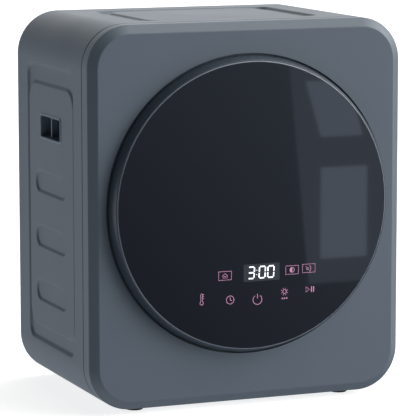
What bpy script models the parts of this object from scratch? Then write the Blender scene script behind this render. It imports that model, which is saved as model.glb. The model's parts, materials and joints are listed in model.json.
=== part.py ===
"""Compact vented clothes dryer, modelled as the separate pieces it is assembled from.

Metres, +Z up. The door faces -Y and is hinged on the left, -X is the left-hand side.
The origin is the bottom centre of the whole machine, where its feet meet the floor.
"""
import bpy
import bmesh
from math import acos, atan2, cos, hypot, pi, radians, sin
from mathutils import Matrix, Vector

# Driving dimensions
WIDTH = 0.500
BODY_HEIGHT = 0.570
FOOT_HEIGHT = 0.007
SHELL_DEPTH = 0.322            # from the front bezel's outer edge to the back of the cabinet
CORNER_RADIUS = 0.065
CHAMFER_WIDTH = 0.0129
CHAMFER_DEPTH = 0.0104
DOOR_STANDOFF = 0.020          # the glass stands this far in front of the face
REAR_BULGE = 0.033             # the duct cover stands this far behind the cabinet
SKIN = 0.0012                  # pressed sheet steel
GLASS_RADIUS = 0.2152
RING_RADIUS = 0.222
SEAT_RADIUS = 0.2246
LOADING_RADIUS = 0.159
DRUM_RADIUS = 0.205
DOOR_ABOVE_CENTRE = 0.0133

# Places that follow from them
HALF = WIDTH / 2
BODY_BOTTOM = FOOT_HEIGHT
BODY_TOP = FOOT_HEIGHT + BODY_HEIGHT
DOOR_Z = (BODY_BOTTOM + BODY_TOP) / 2 + DOOR_ABOVE_CENTRE
FRONT_OVERHANG = CHAMFER_DEPTH + DOOR_STANDOFF
EDGE_Y = FRONT_OVERHANG - (FRONT_OVERHANG + SHELL_DEPTH + REAR_BULGE) / 2
GAP = 0.0004                   # running gap between pieces that touch

# Running gear
MOTOR_X, MOTOR_Z = 0.165, 0.075
EXHAUST_X, EXHAUST_Z = 0.190, 0.134
PIN_X, PIN_DEPTH = -0.2125, -0.017
IDLER_RADIUS = 0.013
PULLEY_RADIUS = 0.010
BELT_THICKNESS = 0.0012
ROUND_STEPS = 40
SMALL_STEPS = 16


def behind(depth):
    """Y of a place that lies this far behind the front bezel's outer edge."""
    return EDGE_Y + depth


# Scene, collections and materials

for old in list(bpy.data.objects):
    bpy.data.objects.remove(old, do_unlink=True)

PARTS = bpy.data.collections.new("clothes_dryer")
CUTTERS = bpy.data.collections.new("cutters")
bpy.context.scene.collection.children.link(PARTS)
bpy.context.scene.collection.children.link(CUTTERS)


def material(name, colour, roughness, metallic=0.0, alpha=1.0):
    made = bpy.data.materials.new(name)
    made.use_nodes = True
    shader = made.node_tree.nodes["Principled BSDF"]
    shader.inputs["Base Color"].default_value = (*colour, 1.0)
    shader.inputs["Roughness"].default_value = roughness
    shader.inputs["Metallic"].default_value = metallic
    shader.inputs["Alpha"].default_value = alpha
    return made


PAINT = material("slate_paint", (0.105, 0.123, 0.153), 0.45)
STEEL = material("stainless_steel", (0.62, 0.62, 0.61), 0.28, 1.0)
ZINC = material("zinc_plate", (0.50, 0.51, 0.52), 0.40, 1.0)
ALUMINIUM = material("cast_aluminium", (0.55, 0.56, 0.57), 0.45, 1.0)
BLACK = material("black_abs", (0.018, 0.020, 0.024), 0.40)
GREY = material("grey_polypropylene", (0.22, 0.23, 0.24), 0.55)
RUBBER = material("black_rubber", (0.012, 0.012, 0.013), 0.80)
FELT = material("grey_felt", (0.30, 0.29, 0.28), 0.95)
GLASS = material("tinted_glass", (0.016, 0.018, 0.022), 0.04)
CLEAR = material("clear_bowl", (0.60, 0.63, 0.65), 0.08, 0.0, 0.35)
BOARD = material("circuit_board", (0.012, 0.085, 0.040), 0.50)
CERAMIC = material("ceramic_heater", (0.70, 0.68, 0.62), 0.70)


# Outlines

def arc(centre_x, centre_z, radius, start, end, steps):
    """Points along an arc, angles in degrees."""
    return [(centre_x + radius * cos(radians(start + (end - start) * i / steps)),
             centre_z + radius * sin(radians(start + (end - start) * i / steps)))
            for i in range(steps + 1)]


def rounded_rectangle(low_x, high_x, low_z, high_z, radius, steps=5):
    """Outline running anticlockwise from the right-hand side's upper corner."""
    outline = []
    outline += arc(high_x - radius, high_z - radius, radius, 0, 90, steps)
    outline += arc(low_x + radius, high_z - radius, radius, 90, 180, steps)
    outline += arc(low_x + radius, low_z + radius, radius, 180, 270, steps)
    outline += arc(high_x - radius, low_z + radius, radius, 270, 360, steps)
    return outline


def cabinet_outline(inset, steps=8):
    """The cabinet's front outline, drawn in by an inset."""
    return rounded_rectangle(-HALF + inset, HALF - inset, BODY_BOTTOM + inset,
                             BODY_TOP - inset, CORNER_RADIUS - inset, steps)


# Solids

def add_object(name, mesh, finish, place=(0, 0, 0), cutter=False):
    made = bpy.data.objects.new(name, mesh)
    made.location = place
    if cutter:
        CUTTERS.objects.link(made)
        made.hide_render = True
        made.display_type = "WIRE"
    else:
        PARTS.objects.link(made)
        mesh.materials.append(finish)
    return made


def finish_mesh(name, builder):
    bmesh.ops.recalc_face_normals(builder, faces=builder.faces)
    mesh = bpy.data.meshes.new(name)
    builder.to_mesh(mesh)
    builder.free()
    mesh.shade_smooth()
    mesh.set_sharp_from_angle(angle=radians(35))
    return mesh


def loft(name, rings, finish=None):
    """Closed solid through outlines that all have the same number of points."""
    builder = bmesh.new()
    loops = [[builder.verts.new(point) for point in ring] for ring in rings]
    for near, far in zip(loops, loops[1:]):
        for i in range(len(near)):
            j = (i + 1) % len(near)
            builder.faces.new((near[i], near[j], far[j], far[i]))
    builder.faces.new(loops[0])
    builder.faces.new(loops[-1])
    return add_object(name, finish_mesh(name, builder), finish, cutter=finish is None)


def prism(name, outline, near, far, finish=None):
    """An XZ outline carried from one depth to another."""
    rings = [[(x, behind(depth), z) for x, z in outline] for depth in (near, far)]
    return loft(name, rings, finish)


def upright(name, outline, low_z, high_z, finish=None):
    """An outline in X and depth carried upwards."""
    rings = [[(x, behind(depth), z) for x, depth in outline] for z in (low_z, high_z)]
    return loft(name, rings, finish)


def box(name, x, depth, z, finish=None):
    """A box between low and high values of X, depth and Z."""
    builder = bmesh.new()
    bmesh.ops.create_cube(builder, size=1)
    size = (x[1] - x[0], depth[1] - depth[0], z[1] - z[0])
    bmesh.ops.scale(builder, vec=size, verts=builder.verts)
    place = ((x[0] + x[1]) / 2, behind((depth[0] + depth[1]) / 2), (z[0] + z[1]) / 2)
    return add_object(name, finish_mesh(name, builder), finish, place, finish is None)


def rod(name, x, z, radius, near, far, finish=None, steps=SMALL_STEPS):
    """A round bar that runs from front to back."""
    builder = bmesh.new()
    bmesh.ops.create_cone(builder, cap_ends=True, segments=steps, radius1=radius,
                          radius2=radius, depth=far - near)
    bmesh.ops.rotate(builder, cent=(0, 0, 0), matrix=Matrix.Rotation(pi / 2, 3, "X"),
                     verts=builder.verts)
    place = (x, behind((near + far) / 2), z)
    return add_object(name, finish_mesh(name, builder), finish, place, finish is None)


def post(name, x, depth, radius, low_z, high_z, finish=None, steps=16):
    """A round bar that stands upright."""
    builder = bmesh.new()
    bmesh.ops.create_cone(builder, cap_ends=True, segments=steps, radius1=radius,
                          radius2=radius, depth=high_z - low_z)
    place = (x, behind(depth), (low_z + high_z) / 2)
    return add_object(name, finish_mesh(name, builder), finish, place, finish is None)


def turned(name, x, z, profile, finish, steps=ROUND_STEPS, closed=True, start=0.0):
    """A turned piece on an axis that runs front to back; the profile is (radius, depth).

    The profile is a ring's own section where it is closed, or it runs from the axis out
    and back to the axis. It is drawn so that its outer side runs down, from back to front.
    """
    area = sum(a[0] * b[1] - b[0] * a[1] for a, b in zip(profile, profile[1:] + profile[:1]))
    points = profile if area < 0 else profile[::-1]
    mesh = bpy.data.meshes.new(name)
    edges = [(i, i + 1) for i in range(len(points) - 1)]
    if closed:
        edges.append((len(points) - 1, 0))
    mesh.from_pydata([(radius, 0, depth - start) for radius, depth in points], edges, [])
    made = add_object(name, mesh, finish, (x, behind(start), z))
    made.rotation_euler = (-pi / 2, 0, 0)
    screw = made.modifiers.new("turn", "SCREW")
    screw.axis = "Z"
    screw.steps = steps
    screw.render_steps = steps
    screw.use_merge_vertices = True
    screw.merge_threshold = 0.00001
    screw.use_smooth_shade = False
    return made


def cut(target, tool):
    change = target.modifiers.new("cut " + tool.name, "BOOLEAN")
    change.operation = "DIFFERENCE"
    change.solver = "EXACT"
    change.object = tool


def join(target, tool):
    change = target.modifiers.new("join " + tool.name, "BOOLEAN")
    change.operation = "UNION"
    change.solver = "EXACT"
    change.object = tool


def pivot(name, place, pieces):
    """An empty on a joint's axis, which carries the pieces that turn or slide with it."""
    empty = bpy.data.objects.new(name, None)
    empty.empty_display_size = 0.03
    empty.location = place
    PARTS.objects.link(empty)
    for piece in pieces:
        piece.parent = empty
        piece.matrix_parent_inverse = Matrix.Translation(-Vector(place))
    return empty


# Cabinet wrap: one sheet of steel bent round, with pressed panels on both sides and the top

WRAP_FRONT = 0.0245
RECESS = (0.060, 0.276)        # depths between which the panels are pressed in
RAISED = (0.069, 0.267)
PRESS_DEPTH = 0.004
PRESS_RETURN = 0.003
SLOPE = 0.007
SIDE_RECESS_Z = (0.0744, 0.5064)
SIDE_RAISED_Z = (0.103, 0.472)
TOP_RECESS_X = 0.148
TOP_RAISED_X = 0.120
PILL_DEPTHS = (0.099, 0.243)
PILL_CENTRES = (0.156, 0.2402, 0.3244)
PILL_HALF_HEIGHT = 0.0185
SLOT_DEPTHS = (0.124, 0.212)
SLOT_Z = (0.395, 0.426)
SLOT_WALL = 0.002


def on_left(across, up, inward):
    return (-HALF + inward, behind(across), up)


def on_right(across, up, inward):
    return (HALF - inward, behind(across), up)


def on_top(across, sideways, inward):
    return (sideways, behind(across), BODY_TOP - inward)


def pressing(name, face, outline_at, levels):
    """A pressed shape's tool: outline_at(grow) at each (inward, grow) level."""
    rings = [[face(across, up, inward) for across, up in outline_at(grow)]
             for inward, grow in levels]
    return loft(name, rings)


def panel_outline(depths, second, radius):
    def outline_at(grow):
        return rounded_rectangle(depths[0] - grow, depths[1] + grow, second[0] - grow,
                                 second[1] + grow, radius + grow, 4)
    return outline_at


def press_panels(block, label, inset):
    """Press the three panels, the pills and their slopes into a block, inset from outside."""
    above, floor = -0.004, PRESS_DEPTH + inset
    island = PRESS_DEPTH - PRESS_RETURN + inset
    recess_levels = [(above, 0.0), (inset, 0.0), (floor, -SLOPE)]
    island_levels = [(floor + 0.003, SLOPE * 0.9), (floor, SLOPE * 0.9), (island, 0.0)]
    for side, face in (("left", on_left), ("right", on_right)):
        recess = panel_outline(RECESS, SIDE_RECESS_Z, 0.020)
        raised = panel_outline(RAISED, SIDE_RAISED_Z, 0.026)
        cut(block, pressing(label + "_recess_" + side, face, recess, recess_levels))
        join(block, pressing(label + "_island_" + side, face, raised, island_levels))
        for number, centre in enumerate(PILL_CENTRES):
            heights = (centre - PILL_HALF_HEIGHT, centre + PILL_HALF_HEIGHT)
            pill = panel_outline(PILL_DEPTHS, heights, PILL_HALF_HEIGHT - 0.0001)
            levels = [(above, 0.0), (island, 0.0), (island + PRESS_RETURN, -0.005)]
            cut(block, pressing(f"{label}_pill_{side}_{number}", face, pill, levels))
    recess = panel_outline(RECESS, (-TOP_RECESS_X, TOP_RECESS_X), 0.020)
    raised = panel_outline(RAISED, (-TOP_RAISED_X, TOP_RAISED_X), 0.026)
    cut(block, pressing(label + "_recess_top", on_top, recess, recess_levels))
    join(block, pressing(label + "_island_top", on_top, raised, island_levels))


def slot_outline(grow):
    return rounded_rectangle(SLOT_DEPTHS[0] - grow, SLOT_DEPTHS[1] + grow,
                             SLOT_Z[0] - grow, SLOT_Z[1] + grow, 0.003 + grow, 3)


wrap = prism("outer_wrap", cabinet_outline(0), WRAP_FRONT, SHELL_DEPTH, PAINT)
press_panels(wrap, "skin", 0.0)
core = prism("wrap_core", cabinet_outline(SKIN), WRAP_FRONT - 0.010, SHELL_DEPTH + 0.010)
press_panels(core, "core", SKIN)
cut(wrap, core)
for side, face in (("left", on_left), ("right", on_right)):
    levels = [(-0.010, SLOT_WALL + GAP), (0.020, SLOT_WALL + GAP)]
    cut(wrap, pressing("slot_" + side, face, slot_outline, levels))


# Hand-hold pockets: plastic cups that line the two lifting slots, each with a middle rib

for side, face in (("left", on_left), ("right", on_right)):
    lip_levels = [(0.0, 0.004), (0.0007, 0.005), (0.0007, SLOT_WALL), (0.024, SLOT_WALL)]
    cup = loft("handle_pocket_" + side,
               [[face(a, b, inward) for a, b in slot_outline(grow)]
                for inward, grow in lip_levels], BLACK)
    cut(cup, pressing("pocket_hollow_" + side, face, slot_outline,
                      [(-0.002, 0.0), (0.0225, -0.0005)]))
    middle = (SLOT_DEPTHS[0] + SLOT_DEPTHS[1]) / 2

    def rib_outline(grow):
        return [(middle - 0.0012, SLOT_Z[0] - 0.001), (middle + 0.0012, SLOT_Z[0] - 0.001),
                (middle + 0.0012, SLOT_Z[1] + 0.001), (middle - 0.0012, SLOT_Z[1] + 0.001)]

    join(cup, pressing("pocket_rib_" + side, face, rib_outline, [(0.006, 0), (0.0235, 0)]))


# Front panel: a moulded bezel with a bevelled rim, a round door seat and the loading hole

def bezel_rings(levels):
    return [[(x, behind(depth), z) for x, z in cabinet_outline(inset)]
            for depth, inset in levels]


SEAT_FLOOR = -0.0044
WALL = 0.002

front_panel = loft("front_panel", bezel_rings([
    (-CHAMFER_DEPTH, CHAMFER_WIDTH), (0.0, 0.0), (0.019, 0.0), (0.0192, 0.003),
    (0.0300, 0.003)]), PAINT)
cut(front_panel, loft("bezel_hollow", bezel_rings([
    (-CHAMFER_DEPTH + WALL, CHAMFER_WIDTH + 0.0014), (0.0009, WALL), (0.0165, WALL),
    (0.0168, 0.005), (0.0350, 0.005)])))
join(front_panel, rod("seat_pan", 0, DOOR_Z, SEAT_RADIUS + WALL, -0.0094,
                      SEAT_FLOOR + WALL, steps=ROUND_STEPS))
cut(front_panel, rod("seat_hollow", 0, DOOR_Z, SEAT_RADIUS, -0.0300, SEAT_FLOOR,
                     steps=ROUND_STEPS))
cut(front_panel, rod("loading_hole", 0, DOOR_Z, LOADING_RADIUS, -0.0300, 0.0100,
                     steps=ROUND_STEPS))
cut(front_panel, box("latch_slot", (0.185, 0.201), (-0.02, 0.01),
                     (DOOR_Z - 0.011, DOOR_Z + 0.011)))
SWITCH_X, SWITCH_Z = 0.150, DOOR_Z + 0.128
cut(front_panel, rod("switch_hole", SWITCH_X, SWITCH_Z, 0.0034, -0.02, 0.01))

door_seal = turned("door_seal", 0, DOOR_Z, [
    (0.1640, -0.0047), (0.1710, -0.0047), (0.1710, -0.0062), (0.1685, -0.0077),
    (0.1665, -0.0077), (0.1640, -0.0062)], RUBBER)


# Front bulkhead: a plate across the cabinet with a turned neck that carries the drum's mouth

bulkhead = prism("front_bulkhead", cabinet_outline(0.0022, 6), 0.0310, 0.0322, ZINC)
neck = rod("bulkhead_neck", 0, DOOR_Z, LOADING_RADIUS, -0.0020, 0.0440, steps=ROUND_STEPS)
flange = rod("bulkhead_flange", 0, DOOR_Z, 0.178, -0.0020, -0.0006, steps=ROUND_STEPS)
join(bulkhead, neck)
join(bulkhead, flange)
cut(bulkhead, rod("bulkhead_bore", 0, DOOR_Z, LOADING_RADIUS - 0.0015, -0.02, 0.08,
                  steps=ROUND_STEPS))
cut(bulkhead, box("filter_mouth", (-0.0640, 0.0640), (0.0172, 0.0300), (0.10, 0.20)))
cut(bulkhead, box("duct_window", (-0.0615, 0.0365), (0.020, 0.040), (0.0125, 0.0520)))
cut(bulkhead, box("latch_room", (0.176, 0.230), (-0.010, 0.020),
                  (DOOR_Z - 0.022, DOOR_Z + 0.022)))
cut(bulkhead, box("switch_room", (SWITCH_X - 0.014, SWITCH_X + 0.014), (-0.010, 0.025),
                  (SWITCH_Z - 0.012, SWITCH_Z + 0.012)))

turned("front_felt", 0, DOOR_Z, [
    (LOADING_RADIUS + GAP, 0.0350), (0.1672, 0.0350), (0.1672, 0.0440),
    (LOADING_RADIUS + GAP, 0.0440)], FELT)


# Lint filter: a cassette that lifts out of the bottom of the neck, in its own housing

FILTER_HALF = 0.060
FILTER_LIFT = 0.080
neck_sill = LOADING_RADIUS - 0.0008
crown = acos(FILTER_HALF / neck_sill)
filter_top = [(x, z) for x, z in arc(0, DOOR_Z, neck_sill, -180 + crown * 180 / pi,
                                     -crown * 180 / pi, 8)]
filter_outline = [(-FILTER_HALF, 0.0600)] + filter_top + [(FILTER_HALF, 0.0600)]
lint_filter = prism("lint_filter", filter_outline[::-1], 0.0185, 0.0285, GREY)
cut(lint_filter, box("filter_hollow", (-0.0560, 0.0560), (0.0205, 0.0265),
                     (0.0640, 0.1380)))
cut(lint_filter, box("filter_front_window", (-0.0520, 0.0520), (0.0100, 0.0230),
                     (0.0700, 0.1320)))
cut(lint_filter, box("filter_back_window", (-0.0520, 0.0520), (0.0240, 0.0400),
                     (0.0700, 0.1320)))

filter_housing = box("filter_housing", (-0.0660, 0.0660), (0.0166, 0.0304),
                     (0.0520, 0.1440), GREY)
cut(filter_housing, box("housing_hollow", (-0.0615, 0.0615), (0.0178, 0.0292),
                        (0.0540, 0.2000)))
cut(filter_housing, box("housing_outlet", (-0.0560, 0.0310), (0.0250, 0.0500),
                        (0.0600, 0.0950)))

air_duct = box("air_duct", (-0.0600, 0.0350), (0.0310, 0.2240), (0.0140, 0.0505), GREY)
join(air_duct, box("duct_cross", (0.0100, 0.2000), (0.2080, 0.2240), (0.0140, 0.0505)))
join(air_duct, box("duct_riser", (0.0900, 0.2000), (0.2080, 0.2240), (0.0200, 0.1080)))
duct_hollow = box("duct_hollow", (-0.0585, 0.0335), (0.0325, 0.2225), (0.0155, 0.0490))
join(duct_hollow, box("cross_hollow", (0.0200, 0.1985), (0.2095, 0.2225),
                      (0.0155, 0.0490)))
join(duct_hollow, box("riser_hollow", (0.0915, 0.1985), (0.2095, 0.2225),
                      (0.0300, 0.1065)))
cut(air_duct, duct_hollow)
cut(air_duct, box("duct_entry", (-0.0540, 0.0290), (0.0300, 0.0330), (0.0180, 0.0460)))
cut(air_duct, rod("duct_to_fan", MOTOR_X, MOTOR_Z, 0.0280, 0.2150, 0.2300))
cut(air_duct, rod("duct_shaft_hole", MOTOR_X, MOTOR_Z, 0.0080, 0.2000, 0.2150))


# Drum: rolled stainless shell, pressed back, three lifters, hub and shaft

drum = turned("drum", 0, DOOR_Z, [
    (0.1680, 0.0360), (0.1690, 0.0360), (0.1690, 0.0450), (0.2050, 0.0620),
    (0.2050, 0.2720), (0.1960, 0.2720), (0.1960, 0.2710), (0.2040, 0.2710),
    (0.2040, 0.0627), (0.1680, 0.0457)], STEEL)
drum_back = turned("drum_back", 0, DOOR_Z, [
    (0.0086, 0.2610), (0.0560, 0.2610), (0.0660, 0.2660), (0.2034, 0.2660),
    (0.2034, 0.2672), (0.0655, 0.2672), (0.0555, 0.2622), (0.0086, 0.2622)], STEEL)
HOLE_COUNT = 8
for number in range(HOLE_COUNT):
    angle = 2 * pi * (number + 0.13) / HOLE_COUNT
    cut(drum_back, rod(f"air_hole_{number}", 0.115 * cos(angle), DOOR_Z + 0.115 * sin(angle),
                       0.012, 0.2500, 0.2800, steps=8))

LIFTER_HEIGHT = 0.036
lifters = []
for number in range(3):
    turn = Matrix.Rotation(2 * pi * number / 3, 4, "Y")
    section = [(-0.026, -0.2010), (-0.007, -0.2010 + LIFTER_HEIGHT),
               (0.007, -0.2010 + LIFTER_HEIGHT), (0.026, -0.2010)]
    ends = ((0.072, 1.0, 0.0), (0.085, 1.0, 1.0), (0.243, 1.0, 1.0), (0.256, 1.0, 0.0))
    rings = []
    for depth, spread, rise in ends:
        ring = []
        for x, z in section:
            height = -0.2010 + (z + 0.2010) * (0.15 + 0.85 * rise)
            point = turn @ Vector((x * spread, 0, height))
            ring.append((point.x, behind(depth), DOOR_Z + point.z))
        rings.append(ring)
    lifters.append(loft(f"drum_lifter_{number + 1}", rings, GREY))

drum_hub = turned("drum_hub", 0, DOOR_Z, [
    (0.0086, 0.2626), (0.0500, 0.2626), (0.0500, 0.2656), (0.0200, 0.2690),
    (0.0200, 0.2900), (0.0086, 0.2900)], ALUMINIUM, steps=24)
drum_shaft = rod("drum_shaft", 0, DOOR_Z, 0.0082, 0.2580, 0.3120, STEEL)
turned("shaft_bearing", 0, DOOR_Z, [
    (0.0087, 0.2960), (0.0175, 0.2960), (0.0175, 0.3080), (0.0087, 0.3080)], STEEL,
       steps=SMALL_STEPS)
turned("bearing_housing", 0, DOOR_Z, [
    (0.0180, 0.2950), (0.0280, 0.2950), (0.0280, 0.3080), (0.0550, 0.3090),
    (0.0550, 0.3136), (0.0180, 0.3136)], ALUMINIUM, steps=24)
turned("rear_felt", 0, DOOR_Z, [
    (0.1570, 0.2682), (0.1630, 0.2682), (0.1630, 0.2722), (0.1570, 0.2722)], FELT, steps=32)
turned("air_plenum", 0, DOOR_Z, [
    (0.1590, 0.2726), (0.1605, 0.2726), (0.1605, 0.3120), (0.1720, 0.3122),
    (0.1720, 0.3136), (0.1590, 0.3136)], ZINC, steps=32)


# Rear panel, duct cover, heater and cord inlet

rear_panel = prism("rear_panel", cabinet_outline(0.0016, 6), 0.3140, 0.3215, ZINC)
cut(rear_panel, prism("panel_hollow", cabinet_outline(0.0030, 6), 0.3155, 0.3300))
cut(rear_panel, rod("exhaust_hole", EXHAUST_X, EXHAUST_Z, 0.0466, 0.3000, 0.3300,
                    steps=24))
HEATER_X = 0.075
HEATER_Z = (0.382, 0.438)
cut(rear_panel, box("hot_air_window", (-HEATER_X + 0.006, HEATER_X - 0.006),
                    (0.3000, 0.3300), (HEATER_Z[0] + 0.006, HEATER_Z[1] - 0.006)))
INLET_X, INLET_Z = -0.185, 0.078
cut(rear_panel, rod("cord_hole", INLET_X, INLET_Z, 0.0094, 0.3000, 0.3300))

COVER_BACK = SHELL_DEPTH + REAR_BULGE
rear_cover = prism("rear_cover", rounded_rectangle(-0.165, 0.165, 0.195, 0.485, 0.050, 6),
                   0.3158, COVER_BACK, PAINT)
cut(rear_cover, prism("cover_hollow",
                      rounded_rectangle(-0.1635, 0.1635, 0.1965, 0.4835, 0.0485, 6),
                      0.3100, COVER_BACK - 0.0015))
for number in range(5):
    height = 0.225 + 0.018 * number
    cut(rear_cover, prism(f"intake_slot_{number}",
                          rounded_rectangle(-0.090, 0.090, height, height + 0.008,
                                            0.0039, 3), 0.3450, 0.3700))

heater = box("heater", (-HEATER_X, HEATER_X), (0.3160, 0.3440), HEATER_Z, CERAMIC)
cut(heater, box("heater_passage", (-HEATER_X + 0.008, HEATER_X - 0.008),
                (0.3100, 0.3500), (HEATER_Z[0] + 0.008, HEATER_Z[1] - 0.008)))
for number in range(6):
    left = -0.0585 + 0.0225 * number
    join(heater, box(f"heater_fin_{number}", (left, left + 0.0045), (0.3180, 0.3420),
                     (HEATER_Z[0] + 0.004, HEATER_Z[1] - 0.004)))
turned("thermostat", 0.100, 0.350, [
    (0, 0.3160), (0.0120, 0.3160), (0.0120, 0.3185), (0.0085, 0.3185), (0.0085, 0.3260),
    (0, 0.3260)], BLACK, steps=SMALL_STEPS, closed=False)
turned("cord_inlet", INLET_X, INLET_Z, [
    (0.0042, 0.3100), (0.0088, 0.3100), (0.0088, 0.3160), (0.0130, 0.3160),
    (0.0115, 0.3240), (0.0042, 0.3240)], BLACK, steps=SMALL_STEPS)


# Motor, fan, exhaust

motor = turned("motor", MOTOR_X, MOTOR_Z, [
    (0.0068, 0.1180), (0.0160, 0.1180), (0.0200, 0.1240), (0.0400, 0.1280),
    (0.0420, 0.1320), (0.0420, 0.1920), (0.0400, 0.1960), (0.0200, 0.2000),
    (0.0160, 0.2040), (0.0068, 0.2040)], ALUMINIUM, steps=24)
motor_shaft = rod("motor_shaft", MOTOR_X, MOTOR_Z, 0.0060, 0.0950, 0.2560, STEEL, steps=20)
motor_pulley = turned("motor_pulley", MOTOR_X, MOTOR_Z, [
    (0.0064, 0.0960), (0.0130, 0.0960), (0.0130, 0.0975), (PULLEY_RADIUS, 0.0985),
    (PULLEY_RADIUS, 0.1085), (0.0130, 0.1095), (0.0130, 0.1110), (0.0064, 0.1110)],
                      ALUMINIUM, steps=SMALL_STEPS)

saddle = [(MOTOR_X - 0.036, 0.0112), (MOTOR_X + 0.018, 0.0112)]
saddle += arc(MOTOR_X, MOTOR_Z, 0.0428, -65, -138, 8)
saddle += [(MOTOR_X - 0.036, 0.0480)]
prism("motor_bracket", saddle, 0.1500, 0.1740, ZINC)

BLADES = 12
wheel = []
for number in range(BLADES):
    middle_angle = 360 * number / BLADES
    wheel += arc(0, 0, 0.0140, middle_angle - 10, middle_angle - 7, 1)
    wheel += [(0.049 * cos(radians(middle_angle + 3)), 0.049 * sin(radians(middle_angle + 3))),
              (0.049 * cos(radians(middle_angle + 6)), 0.049 * sin(radians(middle_angle + 6)))]
fan_wheel = prism("fan_wheel", [(MOTOR_X + x, MOTOR_Z + z) for x, z in wheel],
                  0.2300, 0.2560, GREY)
join(fan_wheel, rod("wheel_disc", MOTOR_X, MOTOR_Z, 0.0500, 0.2530, 0.2560, steps=24))
cut(fan_wheel, rod("wheel_bore", MOTOR_X, MOTOR_Z, 0.0064, 0.2200, 0.2700, steps=20))


def fan_outline(grow):
    """A scroll that opens from the tongue round to the outlet, and the outlet's round end."""
    outline = arc(EXHAUST_X, EXHAUST_Z, 0.0480 + grow, 0, 195, 16)
    for step in range(17):
        angle = 120 + 240 * step / 16
        radius = 0.053 + 0.011 * step / 16 + grow
        outline.append((MOTOR_X + radius * cos(radians(angle)),
                        MOTOR_Z + radius * sin(radians(angle))))
    return outline


fan_housing = prism("fan_housing", fan_outline(0), 0.2250, 0.2620, GREY)
cut(fan_housing, prism("scroll_hollow", fan_outline(-0.0015), 0.2265, 0.2605))
cut(fan_housing, rod("scroll_inlet", MOTOR_X, MOTOR_Z, 0.0300, 0.2200, 0.2300, steps=30))
cut(fan_housing, rod("scroll_outlet", EXHAUST_X, EXHAUST_Z, 0.0440, 0.2580, 0.2700,
                     steps=24))
exhaust_collar = turned("exhaust_collar", EXHAUST_X, EXHAUST_Z, [
    (0.0442, 0.2626), (0.0458, 0.2626), (0.0458, 0.3460), (0.0464, 0.3480),
    (0.0458, 0.3500), (0.0458, 0.3535), (0.0442, 0.3535)], ZINC, steps=32)


# Belt round the drum and the motor pulley, and the sprung idler that tightens it

run = hypot(MOTOR_X, MOTOR_Z - DOOR_Z)
heading = atan2(MOTOR_Z - DOOR_Z, MOTOR_X)


def belt_outline(lift):
    """Open-belt loop: an arc on the drum and an arc on the pulley."""
    drum_round = DRUM_RADIUS + 0.0010 + lift
    pulley_round = PULLEY_RADIUS + 0.0006 + lift
    spread = acos((drum_round - pulley_round) / run)
    leave = (heading + spread) * 180 / pi
    arrive = (heading - spread) * 180 / pi + 360
    return (arc(0, DOOR_Z, drum_round, leave, arrive, 36)
            + arc(MOTOR_X, MOTOR_Z, pulley_round, arrive - 360, leave, 8))


drive_belt = prism("drive_belt", belt_outline(BELT_THICKNESS), 0.1000, 0.1070, RUBBER)
cut(drive_belt, prism("belt_hollow", belt_outline(0), 0.0900, 0.1200))

slack = acos((DRUM_RADIUS - PULLEY_RADIUS + 0.0004) / run)
normal = Vector((cos(heading - slack), sin(heading - slack)))
idler_offset = PULLEY_RADIUS + 0.0006 + BELT_THICKNESS + GAP + IDLER_RADIUS
along = Vector((normal.y, -normal.x))
if along.x > 0:
    along = -along
idler_place = Vector((MOTOR_X, MOTOR_Z)) + normal * idler_offset + along * 0.070
IDLER_X, IDLER_Z = idler_place
ARM_X, ARM_Z = 0.055, 0.032
ARM_DEPTHS = (0.1130, 0.1155)

idler_pulley = turned("idler_pulley", IDLER_X, IDLER_Z, [
    (0.0034, 0.0985), (IDLER_RADIUS, 0.0985), (IDLER_RADIUS, 0.1085), (0.0034, 0.1085)],
                      BLACK, steps=SMALL_STEPS)
tilt = atan2(IDLER_Z - ARM_Z, IDLER_X - ARM_X) * 180 / pi
arm_outline = (arc(ARM_X, ARM_Z, 0.008, tilt + 90, tilt + 270, 8)
               + arc(IDLER_X, IDLER_Z, 0.006, tilt - 90, tilt + 90, 8))
idler_arm = prism("idler_arm", arm_outline, *ARM_DEPTHS, ZINC)
join(idler_arm, rod("idler_axle", IDLER_X, IDLER_Z, 0.0030, 0.0970, 0.1140, steps=16))
cut(idler_arm, rod("arm_eye", ARM_X, ARM_Z, 0.0034, 0.1000, 0.1300, steps=16))
idler_bracket = box("idler_bracket", (0.0440, 0.0660), (0.1165, 0.1190), (0.0112, 0.0420),
                    ZINC)
join(idler_bracket, box("bracket_foot", (0.0440, 0.0660), (0.1165, 0.1350),
                        (0.0112, 0.0132)))
join(idler_bracket, rod("arm_stud", ARM_X, ARM_Z, 0.0030, 0.1100, 0.1180, steps=16))

SPRING_X = 0.084
spring_top = ARM_Z + (IDLER_Z - ARM_Z) * (SPRING_X - ARM_X) / (IDLER_X - ARM_X) - 0.0142
SPRING_TURNS = 4
SPRING_RADIUS = 0.0045
SPRING_WIRE = 0.0008
spring_curve = bpy.data.curves.new("idler_spring", "CURVE")
spring_curve.dimensions = "3D"
spring_curve.bevel_depth = SPRING_WIRE
spring_curve.bevel_resolution = 1
spring_curve.use_fill_caps = True
coil = spring_curve.splines.new("POLY")
coil_points = SPRING_TURNS * 8 + 1
coil.points.add(coil_points - 1)
spring_low = 0.0112 + SPRING_WIRE
spring_rise = spring_top - SPRING_WIRE - spring_low
for number in range(coil_points):
    angle = 2 * pi * number / 8
    coil.points[number].co = (SPRING_RADIUS * cos(angle), SPRING_RADIUS * sin(angle),
                              spring_rise * number / (coil_points - 1), 1)
idler_spring = bpy.data.objects.new("idler_spring", spring_curve)
idler_spring.location = (SPRING_X, behind(0.11425), spring_low)
spring_curve.materials.append(STEEL)
PARTS.objects.link(idler_spring)


# Base tray, mains board case and feet

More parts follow.
